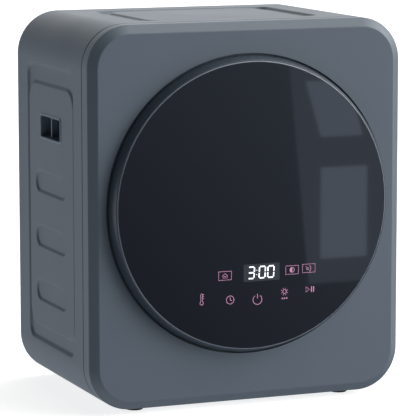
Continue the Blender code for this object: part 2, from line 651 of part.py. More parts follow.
tray_outline = rounded_rectangle(-0.184, 0.184, behind(0.0365), behind(0.3120), 0.006, 2)
base_tray = loft("base_tray", [[(x, y, z) for x, y in tray_outline]
                               for z in (0.0086, 0.0108)], ZINC)
box("mains_board_case", (-0.190, -0.110), (0.0600, 0.1900), (0.0112, 0.0480), BLACK)
FOOT_X = 0.1675
FOOT_RADIUS = 0.0135
for label, depth in (("front", 0.032), ("rear", 0.292)):
    for side, x in (("left", -FOOT_X), ("right", FOOT_X)):
        post(f"foot_{label}_{side}", x, depth, FOOT_RADIUS, 0.0, FOOT_HEIGHT - GAP, RUBBER,
             steps=SMALL_STEPS)


# Door: tinted glass in a black ring, inner frame, clear bowl, display and touch boards

door_glass = turned("door_glass", 0, DOOR_Z, [
    (0, -0.0304), (0.2142, -0.0304), (GLASS_RADIUS, -0.0294), (GLASS_RADIUS, -0.0264),
    (0, -0.0264)], GLASS, closed=False)
door_ring = turned("door_ring", 0, DOOR_Z, [
    (0.2156, -0.0298), (0.2168, -0.0294), (RING_RADIUS, -0.0108), (0.2200, -0.0108),
    (0.2164, -0.0240), (0.2000, -0.0240), (0.2000, -0.0260), (0.2156, -0.0260)], BLACK)
FRAME_BACK = -0.0080
door_frame = turned("door_inner_frame", 0, DOOR_Z, [
    (0.1505, -0.0110), (0.2045, -0.0110), (0.2045, -0.0236), (0.2065, -0.0236),
    (0.2065, -0.0110), (0.2165, -0.0110), (0.2165, FRAME_BACK), (0.1505, FRAME_BACK)],
                    GREY)
HINGE_HALF = 0.0205
cut(door_frame, box("hinge_room", (-0.230, -0.178), (-0.0300, 0.0),
                    (DOOR_Z - 0.026, DOOR_Z + 0.026)))
door_bowl = turned("door_bowl", 0, DOOR_Z, [
    (0, 0.0120), (0.1300, 0.0098), (0.1330, 0.0080), (0.1475, -0.0114), (0.1475, -0.0136),
    (0.1580, -0.0136), (0.1580, -0.0114), (0.1498, -0.0114), (0.1356, 0.0092),
    (0.1315, 0.0122), (0, 0.0145)], CLEAR, closed=False)
control_board = box("control_board", (-0.095, 0.112), (-0.0216, -0.0200), (0.1550, 0.2170),
                    BOARD)
display_module = box("display_module", (-0.0148, 0.0436), (-0.0260, -0.0220),
                     (0.1880, 0.2170), BLACK)
touch_sensor = box("touch_sensor", (-0.0950, 0.1120), (-0.0260, -0.0240),
                   (0.1560, 0.1840), BLACK)


# Door hinge: swan-neck bracket on the seat, pin, and the leaf on the door's inner frame

KNUCKLE_RADIUS = 0.0038


def knuckle_arc():
    return arc(PIN_X, PIN_DEPTH, KNUCKLE_RADIUS, 22, 338, 14)


bracket_outline = knuckle_arc() + [
    (-0.1940, -0.0185), (-0.1940, -0.0068), (-0.1800, -0.0068), (-0.1800, -0.0048),
    (-0.1970, -0.0048), (-0.1970, -0.0155)]
hinge_bracket = upright("hinge_bracket", bracket_outline, DOOR_Z - HINGE_HALF,
                        DOOR_Z + HINGE_HALF, STEEL)
cut(hinge_bracket, box("leaf_room", (-0.2300, -0.1900), (-0.0300, -0.0082),
                       (DOOR_Z - 0.0080, DOOR_Z + 0.0080)))
cut(hinge_bracket, post("bracket_eye", PIN_X, PIN_DEPTH, 0.0023, DOOR_Z - 0.05,
                        DOOR_Z + 0.05))
leaf_outline = knuckle_arc() + [
    (-0.1750, -0.0185), (-0.1750, -0.0140), (-0.1610, -0.0140), (-0.1610, -0.0114),
    (-0.1780, -0.0114), (-0.1780, -0.0155)]
hinge_leaf = upright("hinge_leaf", leaf_outline, DOOR_Z - 0.0074, DOOR_Z + 0.0074, STEEL)
cut(hinge_leaf, post("leaf_eye", PIN_X, PIN_DEPTH, 0.0023, DOOR_Z - 0.05, DOOR_Z + 0.05))
post("hinge_pin", PIN_X, PIN_DEPTH, 0.0020, DOOR_Z - HINGE_HALF - 0.001,
     DOOR_Z + HINGE_HALF + 0.001, STEEL)


# Latch and door switch

latch_hook = upright("latch_hook", [
    (0.1820, -0.0077), (0.1980, -0.0077), (0.1980, -0.0060), (0.1915, -0.0060),
    (0.1915, 0.0050), (0.1950, 0.0060), (0.1950, 0.0080), (0.1915, 0.0095),
    (0.1885, 0.0095), (0.1885, -0.0060), (0.1820, -0.0060)],
                     DOOR_Z - 0.0080, DOOR_Z + 0.0080, STEEL)
latch_housing = box("latch_housing", (0.1800, 0.2080), (-0.0020, 0.0180),
                    (DOOR_Z - 0.0160, DOOR_Z + 0.0160), BLACK)
cut(latch_housing, box("latch_hollow", (0.1830, 0.2050), (-0.0100, 0.0160),
                       (DOOR_Z - 0.0120, DOOR_Z + 0.0120)))
PAWL_X, PAWL_DEPTH = 0.1982, 0.0140
latch_pawl = upright("latch_pawl", [
    (0.1964, 0.0030), (0.1992, 0.0010), (0.2000, 0.0030), (0.2000, 0.0154),
    (0.1964, 0.0154)], DOOR_Z - 0.0090, DOOR_Z + 0.0090, GREY)
switch_case = box("door_switch_case", (SWITCH_X - 0.0100, SWITCH_X + 0.0100),
                  (-0.0020, 0.0180), (SWITCH_Z - 0.0080, SWITCH_Z + 0.0080), BLACK)
cut(switch_case, rod("plunger_bore", SWITCH_X, SWITCH_Z, 0.0034, -0.0100, 0.0120,
                     steps=16))
switch_plunger = rod("door_switch_plunger", SWITCH_X, SWITCH_Z, 0.0029, -0.0076, 0.0080,
                     GREY, steps=16)


# What moves together hangs from an empty on its axis

pivot("door_axis", (PIN_X, behind(PIN_DEPTH), DOOR_Z),
      [door_glass, door_ring, door_frame, door_bowl, control_board, display_module,
       touch_sensor, hinge_leaf, latch_hook])
pivot("drum_axis", (0, behind(0.150), DOOR_Z),
      [drum, drum_back, drum_hub, drum_shaft] + lifters)
pivot("motor_axis", (MOTOR_X, behind(0.150), MOTOR_Z),
      [motor_shaft, motor_pulley, fan_wheel])
pivot("idler_arm_axis", (ARM_X, behind(0.114), ARM_Z), [idler_arm])
pivot("idler_axis", (IDLER_X, behind(0.1035), IDLER_Z), [idler_pulley])
pivot("filter_slide", (0, behind(0.0235), 0.100), [lint_filter])
pivot("pawl_axis", (PAWL_X, behind(PAWL_DEPTH), DOOR_Z), [latch_pawl])
pivot("plunger_slide", (SWITCH_X, behind(0), SWITCH_Z), [switch_plunger])
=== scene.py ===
import json
from math import cos, pi, radians, sin

import bmesh
import bpy
from mathutils import Matrix, Vector


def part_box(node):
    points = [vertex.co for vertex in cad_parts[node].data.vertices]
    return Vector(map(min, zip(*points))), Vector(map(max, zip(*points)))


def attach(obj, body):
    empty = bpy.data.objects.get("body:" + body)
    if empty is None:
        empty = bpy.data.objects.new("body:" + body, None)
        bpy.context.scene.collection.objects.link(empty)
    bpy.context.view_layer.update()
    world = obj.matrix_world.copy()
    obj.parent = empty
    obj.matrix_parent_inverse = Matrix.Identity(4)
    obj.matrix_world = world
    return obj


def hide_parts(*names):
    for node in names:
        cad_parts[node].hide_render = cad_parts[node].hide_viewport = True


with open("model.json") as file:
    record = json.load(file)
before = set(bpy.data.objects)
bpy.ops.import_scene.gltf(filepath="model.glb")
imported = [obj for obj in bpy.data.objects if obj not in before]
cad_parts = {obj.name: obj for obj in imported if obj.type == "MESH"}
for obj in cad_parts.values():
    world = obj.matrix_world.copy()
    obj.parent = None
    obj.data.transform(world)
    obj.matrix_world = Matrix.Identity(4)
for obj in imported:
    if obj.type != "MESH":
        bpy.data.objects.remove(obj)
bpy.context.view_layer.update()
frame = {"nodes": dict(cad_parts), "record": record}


# Cabinet wrap. One sheet of 1.2 mm steel is bent round into the sides, top and bottom, and
# a press tool stamps a stepped panel into both sides and the top before it is bent. The sheet's
# front edge is rolled inwards, so that no raw edge shows in the groove behind the front panel.

wrap_low, wrap_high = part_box("outer_wrap")
EDGE_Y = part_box("front_panel")[0].y + 0.0104     # the bezel's outer edge
HALF = wrap_high.x
BODY_BOTTOM, BODY_TOP = wrap_low.z, wrap_high.z
CORNER_RADIUS = 0.065
CORNER_SEGMENTS = 28
SHEET = 0.0012
SMOOTH_ANGLE = radians(32)


def behind(depth):
    """Y of a place this far behind the bezel's outer edge."""
    return EDGE_Y + depth


def clear():
    """Leave edit mode and deselect everything."""
    if bpy.context.mode != "OBJECT":
        bpy.ops.object.mode_set(mode="OBJECT")
    bpy.ops.object.select_all(action="DESELECT")


def begin(add, name, scale=(1, 1, 1), **settings):
    """Add a primitive, fix its size and place in its mesh, and open it for editing."""
    clear()
    add(**settings)
    piece = bpy.context.object
    piece.name = piece.data.name = name
    piece.scale = scale
    bpy.ops.object.transform_apply(location=True, rotation=True, scale=True)
    bpy.ops.object.mode_set(mode="EDIT")
    return piece


def block(name, low, high):
    """A cube primitive between two corners, open for editing."""
    low, high = Vector(low), Vector(high)
    return begin(bpy.ops.mesh.primitive_cube_add, name, high - low, size=1,
                 location=(low + high) / 2)


def choose(piece, kind, test):
    """Select the verts, edges or faces that pass a test, and nothing else."""
    bpy.ops.mesh.select_mode(type=kind)
    bpy.ops.mesh.select_all(action="DESELECT")
    shape = bmesh.from_edit_mesh(piece.data)
    shape.normal_update()
    for part in {"VERT": shape.verts, "EDGE": shape.edges, "FACE": shape.faces}[kind]:
        part.select = test(part)
    shape.select_flush_mode()
    bmesh.update_edit_mesh(piece.data)


def insets(points):
    """Inset the selected face along a section, given as (inwards, outwards) places."""
    for before, after in zip(points, points[1:]):
        bpy.ops.mesh.inset(thickness=max(after[0] - before[0], 0.000001),
                           depth=after[1] - before[1], use_even_offset=True)


def softened(corners, steps=5, closed=False):
    """A section through (a, b, softness) corners, each turned in a smooth curve."""
    points = []
    count = len(corners)
    for i, (a, b, softness) in enumerate(corners):
        here = Vector((a, b))
        if softness == 0 or (not closed and i in (0, count - 1)):
            points.append((a, b))
            continue
        before = Vector(corners[i - 1][:2]) - here
        after = Vector(corners[(i + 1) % count][:2]) - here
        start = here + before.normalized() * min(softness, before.length * 0.49)
        end = here + after.normalized() * min(softness, after.length * 0.49)
        for step in range(steps + 1):
            t = step / steps
            place = start * (1 - t) ** 2 + here * 2 * t * (1 - t) + end * t ** 2
            points.append((place.x, place.y))
    return points


def bend_long_edges(piece, radius, segments):
    """Round the four edges that run from front to back."""
    choose(piece, "EDGE", lambda e: abs((e.verts[0].co - e.verts[1].co).normalized().y) > 0.9)
    bpy.ops.mesh.bevel(offset=radius, segments=segments, affect="EDGES")


def panel(name, facing, across, along, radius, level, segments=10):
    """A flat plate with round corners on the left (-1), right (1) or top (0) of the cabinet.

    across is its range of depths, along its range of height, or of X on the top.
    """
    middle_y = behind((across[0] + across[1]) / 2)
    middle = (along[0] + along[1]) / 2
    if facing == 0:
        place, turn = (middle, middle_y, BODY_TOP - level), (0, 0, 0)
    else:
        place, turn = (facing * (HALF - level), middle_y, middle), (0, facing * pi / 2, 0)
    plate = begin(bpy.ops.mesh.primitive_plane_add, name,
                  (along[1] - along[0], across[1] - across[0], 1), size=1,
                  location=place, rotation=turn)
    bpy.ops.mesh.select_all(action="SELECT")
    bpy.ops.mesh.bevel(offset=radius, segments=segments, affect="VERTICES")
    bpy.ops.mesh.select_all(action="SELECT")
    return plate


def grown(span, amount):
    return (span[0] - amount, span[1] + amount)


def pressed(width, fall, steps=8):
    """Section of a pressed step: it eases out of one level and into the next."""
    return [(width * t / steps, fall * (0.5 - 0.5 * cos(pi * t / steps)))
            for t in range(steps + 1)]


def joined(pieces):
    """Join pieces into the first one and open it for editing."""
    clear()
    for piece in pieces:
        piece.select_set(True)
    bpy.context.view_layer.objects.active = pieces[0]
    bpy.ops.object.join()
    bpy.ops.object.mode_set(mode="EDIT")
    return pieces[0]


def fill_level(piece, axis, value):
    """Fill between all the open edges that lie at one level."""
    choose(piece, "EDGE", lambda e: e.is_boundary
           and all(abs(v.co[axis] - value) < 0.00002 for v in e.verts))
    bpy.ops.mesh.fill(use_beauty=True)


def modify(piece, kind, **settings):
    """Add a modifier and apply it."""
    clear()
    piece.select_set(True)
    bpy.context.view_layer.objects.active = piece
    change = piece.modifiers.new(kind.lower(), kind)
    for name, value in settings.items():
        setattr(change, name, value)
    bpy.ops.object.modifier_apply(modifier=change.name)


def even_normals(piece):
    """Merge doubles and turn all faces outwards."""
    bpy.ops.mesh.select_all(action="SELECT")
    bpy.ops.mesh.remove_doubles(threshold=0.000004)
    bpy.ops.mesh.normals_make_consistent(inside=False)
    clear()


def finish(piece, material, body, slot, *nodes, angle=SMOOTH_ANGLE):
    """Shade a piece, give it its material, and let it ride on its body; its slot is not used."""
    clear()
    piece.select_set(True)
    bpy.context.view_layer.objects.active = piece
    bpy.ops.object.shade_smooth_by_angle(angle=angle)
    modify(piece, "WEIGHTED_NORMAL", weight=60, keep_sharp=True)
    piece.data.materials.clear()
    piece.data.materials.append(material)
    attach(piece, body)
    if nodes:
        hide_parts(*nodes)


def linear(hex_colour):
    """An sRGB hex colour as linear RGBA."""
    parts = [int(hex_colour[i:i + 2], 16) / 255 for i in (1, 3, 5)]
    return tuple(c / 12.92 if c < 0.04045 else ((c + 0.055) / 1.055) ** 2.4
                 for c in parts) + (1.0,)


def new_finish(name, colour, roughness, metallic=0.0, ior=1.5):
    """A material with a Principled shader; returns it with its tree and shader."""
    material = bpy.data.materials.new(name)
    material.use_nodes = True
    shader = material.node_tree.nodes["Principled BSDF"]
    shader.inputs["Base Color"].default_value = linear(colour)
    shader.inputs["Roughness"].default_value = roughness
    shader.inputs["Metallic"].default_value = metallic
    shader.inputs["IOR"].default_value = ior
    return material, material.node_tree, shader


def add(tree, kind, inputs, **settings):
    """Add a node with its settings; an input is a value or another node's socket."""
    made = tree.nodes.new(kind)
    for name, value in settings.items():
        setattr(made, name, value)
    for socket, value in inputs.items():
        if isinstance(value, bpy.types.NodeSocket):
            tree.links.new(value, made.inputs[socket])
        else:
            made.inputs[socket].default_value = value
    return made


# Powder coat: baked polyester paint. It flows into a very slight orange peel, with a peak about
# every 2 mm and a fine grain, so highlights are soft and a little broken.

def powder_coat(name, colour, roughness):
    material, tree, shader = new_finish(name, colour, roughness)
    place = add(tree, "ShaderNodeTexCoord", {}).outputs["Object"]
    peel = add(tree, "ShaderNodeTexNoise", {"Vector": place, "Scale": 480.0, "Detail": 2.0,
                                            "Roughness": 0.45})
    cloud = add(tree, "ShaderNodeTexNoise", {"Vector": place, "Scale": 9.0, "Detail": 3.0})
    tone = add(tree, "ShaderNodeMapRange", {"Value": cloud.outputs["Fac"], "From Min": 0.3,
                                            "From Max": 0.7, "To Min": roughness - 0.03,
                                            "To Max": roughness + 0.03})
    tree.links.new(tone.outputs["Result"], shader.inputs["Roughness"])
    shade = add(tree, "ShaderNodeMix", {"Factor": cloud.outputs["Fac"]}, data_type="RGBA")
    base = linear(colour)
    shade.inputs["A"].default_value = tuple(c * 0.97 for c in base[:3]) + (1.0,)
    shade.inputs["B"].default_value = tuple(c * 1.03 for c in base[:3]) + (1.0,)
    tree.links.new(shade.outputs["Result"], shader.inputs["Base Color"])
    bump = add(tree, "ShaderNodeBump", {"Height": peel.outputs["Fac"], "Strength": 0.10,
                                        "Distance": 0.00015})
    tree.links.new(bump.outputs["Normal"], shader.inputs["Normal"])
    return material


SLATE = "#5E6974"
# baked powder coat on steel: satin, with a faint orange peel and slow drifts in its sheen
slate_paint = powder_coat("slate_powder_coat", SLATE, 0.42)

RECESS = (0.060, 0.277)
SIDE_RECESS = (0.0744, 0.5064)
TOP_RECESS = (-0.148, 0.148)
RAISED = (0.069, 0.268)
SIDE_RAISED = (0.103, 0.472)
TOP_RAISED = (-0.120, 0.120)
PRESS_DEPTH = 0.004
ISLAND_LEVEL = 0.001
RECESS_SLOPE = 0.0070
ISLAND_SLOPE = 0.0063
PILL_DEPTHS = (0.099, 0.243)
PILL_HALF_HEIGHT = 0.0185
PILL_CENTRES = (0.156, 0.2402, 0.3244)
SLOT_DEPTHS = (0.124, 0.212)
SLOT_Z = (0.395, 0.426)
ROLL = 0.0010

wrap = block("cabinet_wrap", (wrap_low.x, wrap_low.y + ROLL, wrap_low.z), wrap_high)
bend_long_edges(wrap, CORNER_RADIUS, CORNER_SEGMENTS)
choose(wrap, "FACE", lambda f: f.normal.y < -0.9)
rolled_edge = [(ROLL * (1 - cos(radians(angle))), ROLL * sin(radians(angle)))
               for angle in range(0, 91, 15)]
insets(rolled_edge)
bpy.ops.mesh.delete(type="FACE")
choose(wrap, "FACE", lambda f: f.calc_area() > 0.04 and f.normal.z > -0.9
       and f.normal.y < 0.9)
bpy.ops.mesh.delete(type="FACE")

stampings = [wrap]
for facing, recess_span, raised_span in ((-1, SIDE_RECESS, SIDE_RAISED),
                                         (1, SIDE_RECESS, SIDE_RAISED),
                                         (0, TOP_RECESS, TOP_RAISED)):
    stampings.append(panel("recess", facing, RECESS, recess_span, 0.020, 0.0))
    insets(pressed(RECESS_SLOPE, -PRESS_DEPTH))
    bpy.ops.mesh.delete(type="FACE")
    stampings.append(panel("island", facing, grown(RAISED, ISLAND_SLOPE),
                           grown(raised_span, ISLAND_SLOPE), 0.026 + ISLAND_SLOPE,
                           PRESS_DEPTH))
    insets(pressed(ISLAND_SLOPE, PRESS_DEPTH - ISLAND_LEVEL))
    bpy.ops.mesh.delete(type="FACE")
    if facing == 0:
        continue
    for centre in PILL_CENTRES:
        stampings.append(panel("pill", facing, PILL_DEPTHS,
                               (centre - PILL_HALF_HEIGHT, centre + PILL_HALF_HEIGHT),
                               PILL_HALF_HEIGHT - 0.0002, ISLAND_LEVEL, 14))
        insets(pressed(0.0052, ISLAND_LEVEL - PRESS_DEPTH))
    stampings.append(panel("slot", facing, grown(SLOT_DEPTHS, 0.0025), grown(SLOT_Z, 0.0025),
                           0.0055, ISLAND_LEVEL, 6))
    insets([(0.0, 0.0), (0.0004, -0.0003), (0.0005, -0.0025)])
    bpy.ops.mesh.delete(type="FACE")

wrap = joined(stampings)
for level in (0.0, PRESS_DEPTH, ISLAND_LEVEL):
    fill_level(wrap, 0, -HALF + level)
    fill_level(wrap, 0, HALF - level)
    fill_level(wrap, 2, BODY_TOP - level)
choose(wrap, "FACE", lambda f: f.normal.y > 0.9 and f.calc_area() > 0.2)
bpy.ops.mesh.delete(type="FACE")
even_normals(wrap)
modify(wrap, "SOLIDIFY", thickness=SHEET, offset=-1, use_even_offset=True)
finish(wrap, slate_paint, "cabinet", "cabinet_paint", "outer_wrap")


# Hand-hold pockets. Slate-grey ABS cups clip into the two lifting slots from outside; a
# rounded lip covers the cut edge of the sheet, and an upright rib stiffens the cup.

def moulded(name, colour, roughness, grain=900.0, depth=0.00006):
    """Injection-moulded plastic: a fine spark-eroded grain about a millimetre apart."""
    material, tree, shader = new_finish(name, colour, roughness)
    place = add(tree, "ShaderNodeTexCoord", {}).outputs["Object"]
    speckle = add(tree, "ShaderNodeTexNoise", {"Vector": place, "Scale": grain,
                                               "Detail": 2.0})
    bump = add(tree, "ShaderNodeBump", {"Height": speckle.outputs["Fac"], "Strength": 0.15,
                                        "Distance": depth})
    tree.links.new(bump.outputs["Normal"], shader.inputs["Normal"])
    tone = add(tree, "ShaderNodeMapRange", {"Value": speckle.outputs["Fac"],
                                            "To Min": roughness - 0.05,
                                            "To Max": roughness + 0.05})
    tree.links.new(tone.outputs["Result"], shader.inputs["Roughness"])
    return material


LIP = 0.0050
# moulded ABS: a shade lighter and glossier than the painted steel round it
pocket_plastic = moulded("pocket_abs", "#6A7582", 0.34)
for side, facing in (("left", -1), ("right", 1)):
    node = "handle_pocket_" + side
    cup = panel("pocket_" + side, facing, grown(SLOT_DEPTHS, LIP), grown(SLOT_Z, LIP),
                0.0075, 0.0012, 8)
    lip = softened([(0.0, 0.0, 0), (0.0012, 0.0015, 0.0010), (LIP - 0.0004, 0.0015, 0.0020),
                    (LIP + 0.0004, -0.0205, 0.0014), (LIP + 0.0022, -0.0210, 0)])
    insets(lip)
    rib_ends = sorted((facing * 0.2280, facing * 0.2430))
    rib = block("pocket_rib", (rib_ends[0], behind(0.1806), SLOT_Z[0]),
                (rib_ends[1], behind(0.1846), SLOT_Z[1]))
    choose(rib, "EDGE", lambda e: all(abs(v.co.x) > 0.242 for v in e.verts))
    bpy.ops.mesh.bevel(offset=0.0008, segments=3, affect="EDGES")
    cup = joined([cup, rib])
    even_normals(cup)
    finish(cup, pocket_plastic, "cabinet", "black_plastic", node)


# Front panel. An injection-moulded ABS bezel in the same slate colour: a bevelled rim runs
# round its edge, and a shallow round seat takes the door. It plugs into the wrap behind a groove.

CHAMFER_WIDTH = 0.0129
CHAMFER_DEPTH = 0.0104
SEAT_RADIUS = 0.2246
SEAT_FLOOR = -0.0044
MOUTH_RADIUS = 0.159
ring_low, ring_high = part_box("door_ring")
DOOR_Z = (ring_low.z + ring_high.z) / 2
ROUND_STEPS = 192


def turned(name, corners, steps=ROUND_STEPS, closed=True, soften=4, centre=None, upright=False):
    """A piece spun from a section of (radius, place along the axis, softness) corners.

    The axis runs from front to back through the door's centre, or stands upright.
    """
    clear()
    x, y, z = centre or (0.0, behind(0.0), DOOR_Z)
    section = softened(corners, soften, closed)
    if upright:
        points = [(x + radius, y, z + height) for radius, height in section]
    else:
        points = [(x + radius, y + depth, z) for radius, depth in section]
    mesh = bpy.data.meshes.new(name)
    edges = [(i, i + 1) for i in range(len(points) - 1)]
    if closed:
        edges.append((len(points) - 1, 0))
    mesh.from_pydata(points, edges, [])
    piece = bpy.data.objects.new(name, mesh)
    bpy.context.scene.collection.objects.link(piece)
    piece.select_set(True)
    bpy.context.view_layer.objects.active = piece
    bpy.ops.object.mode_set(mode="EDIT")
    bpy.ops.mesh.select_all(action="SELECT")
    bpy.ops.mesh.spin(steps=steps, angle=2 * pi, center=(x, y, z),
                      axis=(0, 0, 1) if upright else (0, 1, 0))
    bpy.ops.mesh.select_all(action="SELECT")
    bpy.ops.mesh.remove_doubles(threshold=0.000004)
    return piece


def drilled(piece, tools):
    """Cut pieces out of a closed piece, and remove the tools."""
    for tool in tools:
        modify(piece, "BOOLEAN", operation="DIFFERENCE", solver="EXACT", object=tool)
        bpy.data.objects.remove(tool)


STRIP_END = 0.0190
bezel = block("front_bezel", (-HALF, behind(0.0030), BODY_BOTTOM),
              (HALF, behind(STRIP_END - 0.0015), BODY_TOP))
bend_long_edges(bezel, CORNER_RADIUS, CORNER_SEGMENTS)
choose(bezel, "FACE", lambda f: f.normal.y < -0.9)
insets(softened([(0.0, 0.0, 0), (0.0, 0.0030, 0.0014),
                 (CHAMFER_WIDTH, 0.0030 + CHAMFER_DEPTH, 0.0014),
                 (CHAMFER_WIDTH + 0.0030, 0.0030 + CHAMFER_DEPTH, 0)]))
bpy.ops.mesh.delete(type="FACE")
choose(bezel, "FACE", lambda f: f.normal.y > 0.9)
insets(softened([(0.0, 0.0, 0), (0.0, 0.0015, 0.0010), (0.0016, 0.0015, 0.0003),
                 (0.0016, 0.0115, 0)]))
bpy.ops.mesh.delete(type="FACE")
face_y = behind(-CHAMFER_DEPTH)
seat = turned("door_seat", [
    (SEAT_RADIUS + 0.0012, -CHAMFER_DEPTH, 0), (SEAT_RADIUS, -CHAMFER_DEPTH, 0.0010),
    (SEAT_RADIUS, SEAT_FLOOR, 0.0010), (0.1740, SEAT_FLOOR, 0), (0.1730, SEAT_FLOOR + 0.0006, 0),
    (0.1620, SEAT_FLOOR + 0.0006, 0), (0.1610, SEAT_FLOOR, 0.0008),
    (MOUTH_RADIUS, SEAT_FLOOR, 0.0010), (MOUTH_RADIUS, SEAT_FLOOR + 0.0022, 0)], closed=False)
bezel = joined([bezel, seat])
fill_level(bezel, 1, face_y)
even_normals(bezel)
modify(bezel, "SOLIDIFY", thickness=0.0018, offset=-1, use_even_offset=True)
SWITCH = Vector((0.150, 0, DOOR_Z + 0.128))
drilled(bezel, [
    block("latch_slot", (0.185, behind(-0.020), DOOR_Z - 0.011),
          (0.201, behind(0.010), DOOR_Z + 0.011)),
    begin(bpy.ops.mesh.primitive_cylinder_add, "switch_hole", vertices=32, radius=0.0034,
          depth=0.030, location=(SWITCH.x, behind(-0.004), SWITCH.z),
          rotation=(pi / 2, 0, 0))])
# ABS painted to match the wrap: the same satin and peel, a touch smoother than on steel
bezel_plastic = powder_coat("slate_abs", SLATE, 0.40)
finish(bezel, bezel_plastic, "cabinet", "bezel_plastic", "front_panel")


# Seam strip. A moulded strip of the bezel's own plastic lies in the groove between the bezel
# and the wrap's rolled edge, a little below both, so that the seam reads as a fine line.

STRIP_INSET = 0.0007
strip = block("seam_strip", (-HALF + STRIP_INSET, behind(STRIP_END - 0.0010),
                             BODY_BOTTOM + STRIP_INSET),
              (HALF - STRIP_INSET, behind(0.0252), BODY_TOP - STRIP_INSET))
bend_long_edges(strip, CORNER_RADIUS - STRIP_INSET, CORNER_SEGMENTS)
choose(strip, "FACE", lambda f: abs(f.normal.y) > 0.9)
bpy.ops.mesh.delete(type="FACE")
even_normals(strip)
modify(strip, "SOLIDIFY", thickness=0.0007, offset=-1, use_even_offset=True)
finish(strip, bezel_plastic, "cabinet", "bezel_plastic")


# Door glass. A 4 mm disc of tempered glass, printed dark from behind, with its edge ground and
# polished to a narrow bevel; a light grey ring on the bevel is a painted highlight, a bright line.

glass_low, glass_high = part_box("door_glass")
GLASS_RADIUS = (glass_high.z - glass_low.z) / 2
GLASS_FRONT = glass_low.y - behind(0.0)
GLASS_BACK = glass_high.y - behind(0.0)
EDGE_BEVEL = 0.0013

glass = turned("door_glass_disc", [
    (0, GLASS_FRONT, 0), (GLASS_RADIUS - EDGE_BEVEL, GLASS_FRONT, 0.0003),
    (GLASS_RADIUS, GLASS_FRONT + EDGE_BEVEL, 0.0003), (GLASS_RADIUS, GLASS_BACK, 0.0006),
    (0, GLASS_BACK, 0)], closed=False)
even_normals(glass)
# tempered glass over black print: near-black and mirror-smooth, with the slow waves of heating
dark_glass, tree, shader = new_finish("printed_dark_glass", "#0E1218", 0.035, ior=1.52)
place = add(tree, "ShaderNodeTexCoord", {}).outputs["Object"]
ripple = add(tree, "ShaderNodeTexNoise", {"Vector": place, "Scale": 7.0, "Detail": 1.0})
bump = add(tree, "ShaderNodeBump", {"Height": ripple.outputs["Fac"], "Strength": 0.04,
                                    "Distance": 0.0006})
tree.links.new(bump.outputs["Normal"], shader.inputs["Normal"])
finish(glass, dark_glass, "door", "tinted_glass", "door_glass")
arris = turned("door_glass_edge", [
    (GLASS_RADIUS - EDGE_BEVEL - 0.0001, GLASS_FRONT - 0.00006, 0),
    (GLASS_RADIUS + 0.0001, GLASS_FRONT + EDGE_BEVEL - 0.00006, 0),
    (GLASS_RADIUS - 0.0008, GLASS_FRONT + EDGE_BEVEL, 0)], steps=256)
even_normals(arris)
# ground glass edge, finely frosted: its light grey is a painted highlight, a thin lighter ring
glass_edge_highlight_paint, tree, shader = new_finish("glass_edge_painted_highlight", "#8A929E", 0.28, ior=1.52)
place = add(tree, "ShaderNodeTexCoord", {}).outputs["Object"]
grit = add(tree, "ShaderNodeTexNoise", {"Vector": place, "Scale": 1400.0, "Detail": 2.0})
bump = add(tree, "ShaderNodeBump", {"Height": grit.outputs["Fac"], "Strength": 0.15,
                                    "Distance": 0.00005})
tree.links.new(bump.outputs["Normal"], shader.inputs["Normal"])
finish(arris, glass_edge_highlight_paint, "door", "tinted_glass")


# Door ring. A dark slate ABS moulding that carries the glass: it flares outwards from the glass
# to the face, and an inner ledge behind the glass takes the adhesive.

ring = turned("door_ring_moulding", [
    (GLASS_RADIUS + 0.0004, -0.0298, 0.0002), (0.2168, -0.0294, 0.0006),
    (0.2194, -0.0210, 0.0030), (0.2220, -0.0116, 0.0014), (0.2220, -0.0108, 0.0004),
    (0.2202, -0.0108, 0.0004), (0.2166, -0.0240, 0.0010), (0.2000, -0.0240, 0.0006),
    (0.2000, -0.0258, 0.0004), (GLASS_RADIUS + 0.0004, -0.0258, 0)])
even_normals(ring)
# moulded dark ABS: semi-gloss, so that its flare shows a soft band of light
ring_plastic = moulded("ring_abs", "#3A424D", 0.28)
finish(ring, ring_plastic, "door", "black_plastic", "door_ring")


# Display and touch marks. A lit three-digit display shows through a clear window in the print,
# and pink marks are printed on the back of the glass over the touch pads.

FRONT = glass_low.y
STROKE = 0.0010


def flat_mark(name, spline_points, width, lift):
    """Ribbons along lists of (x, z) points, laid on the glass; a ribbon may be closed."""
    clear()
    drawing = bpy.data.curves.new(name, "CURVE")
    drawing.dimensions = "3D"
    drawing.bevel_depth = width / 2
    drawing.bevel_resolution = 1
    drawing.use_fill_caps = True
    for points, closed in spline_points:
        spline = drawing.splines.new("POLY")
        spline.points.add(len(points) - 1)
        spline.use_cyclic_u = closed
        for point, (x, z) in zip(spline.points, points):
            point.co = (x, 0, z, 1)
    ribbon = bpy.data.objects.new(name, drawing)
    bpy.context.scene.collection.objects.link(ribbon)
    ribbon.select_set(True)
    bpy.context.view_layer.objects.active = ribbon
    bpy.ops.object.convert(target="MESH")
    ribbon = bpy.context.object
    ribbon.location = (0, FRONT, 0)
    ribbon.scale = (1, 2 * lift / width, 1)
    bpy.ops.object.transform_apply(location=True, rotation=True, scale=True)
    return ribbon


def ring_points(x, z, radius, start=0, end=360, steps=24):
    return [(x + radius * cos(radians(start + (end - start) * i / steps)),
             z + radius * sin(radians(start + (end - start) * i / steps)))
            for i in range(steps + 1)]


def frame_points(x, z, width, height):
    return [(x - width / 2, z - height / 2), (x + width / 2, z - height / 2),
            (x + width / 2, z + height / 2), (x - width / 2, z + height / 2)]


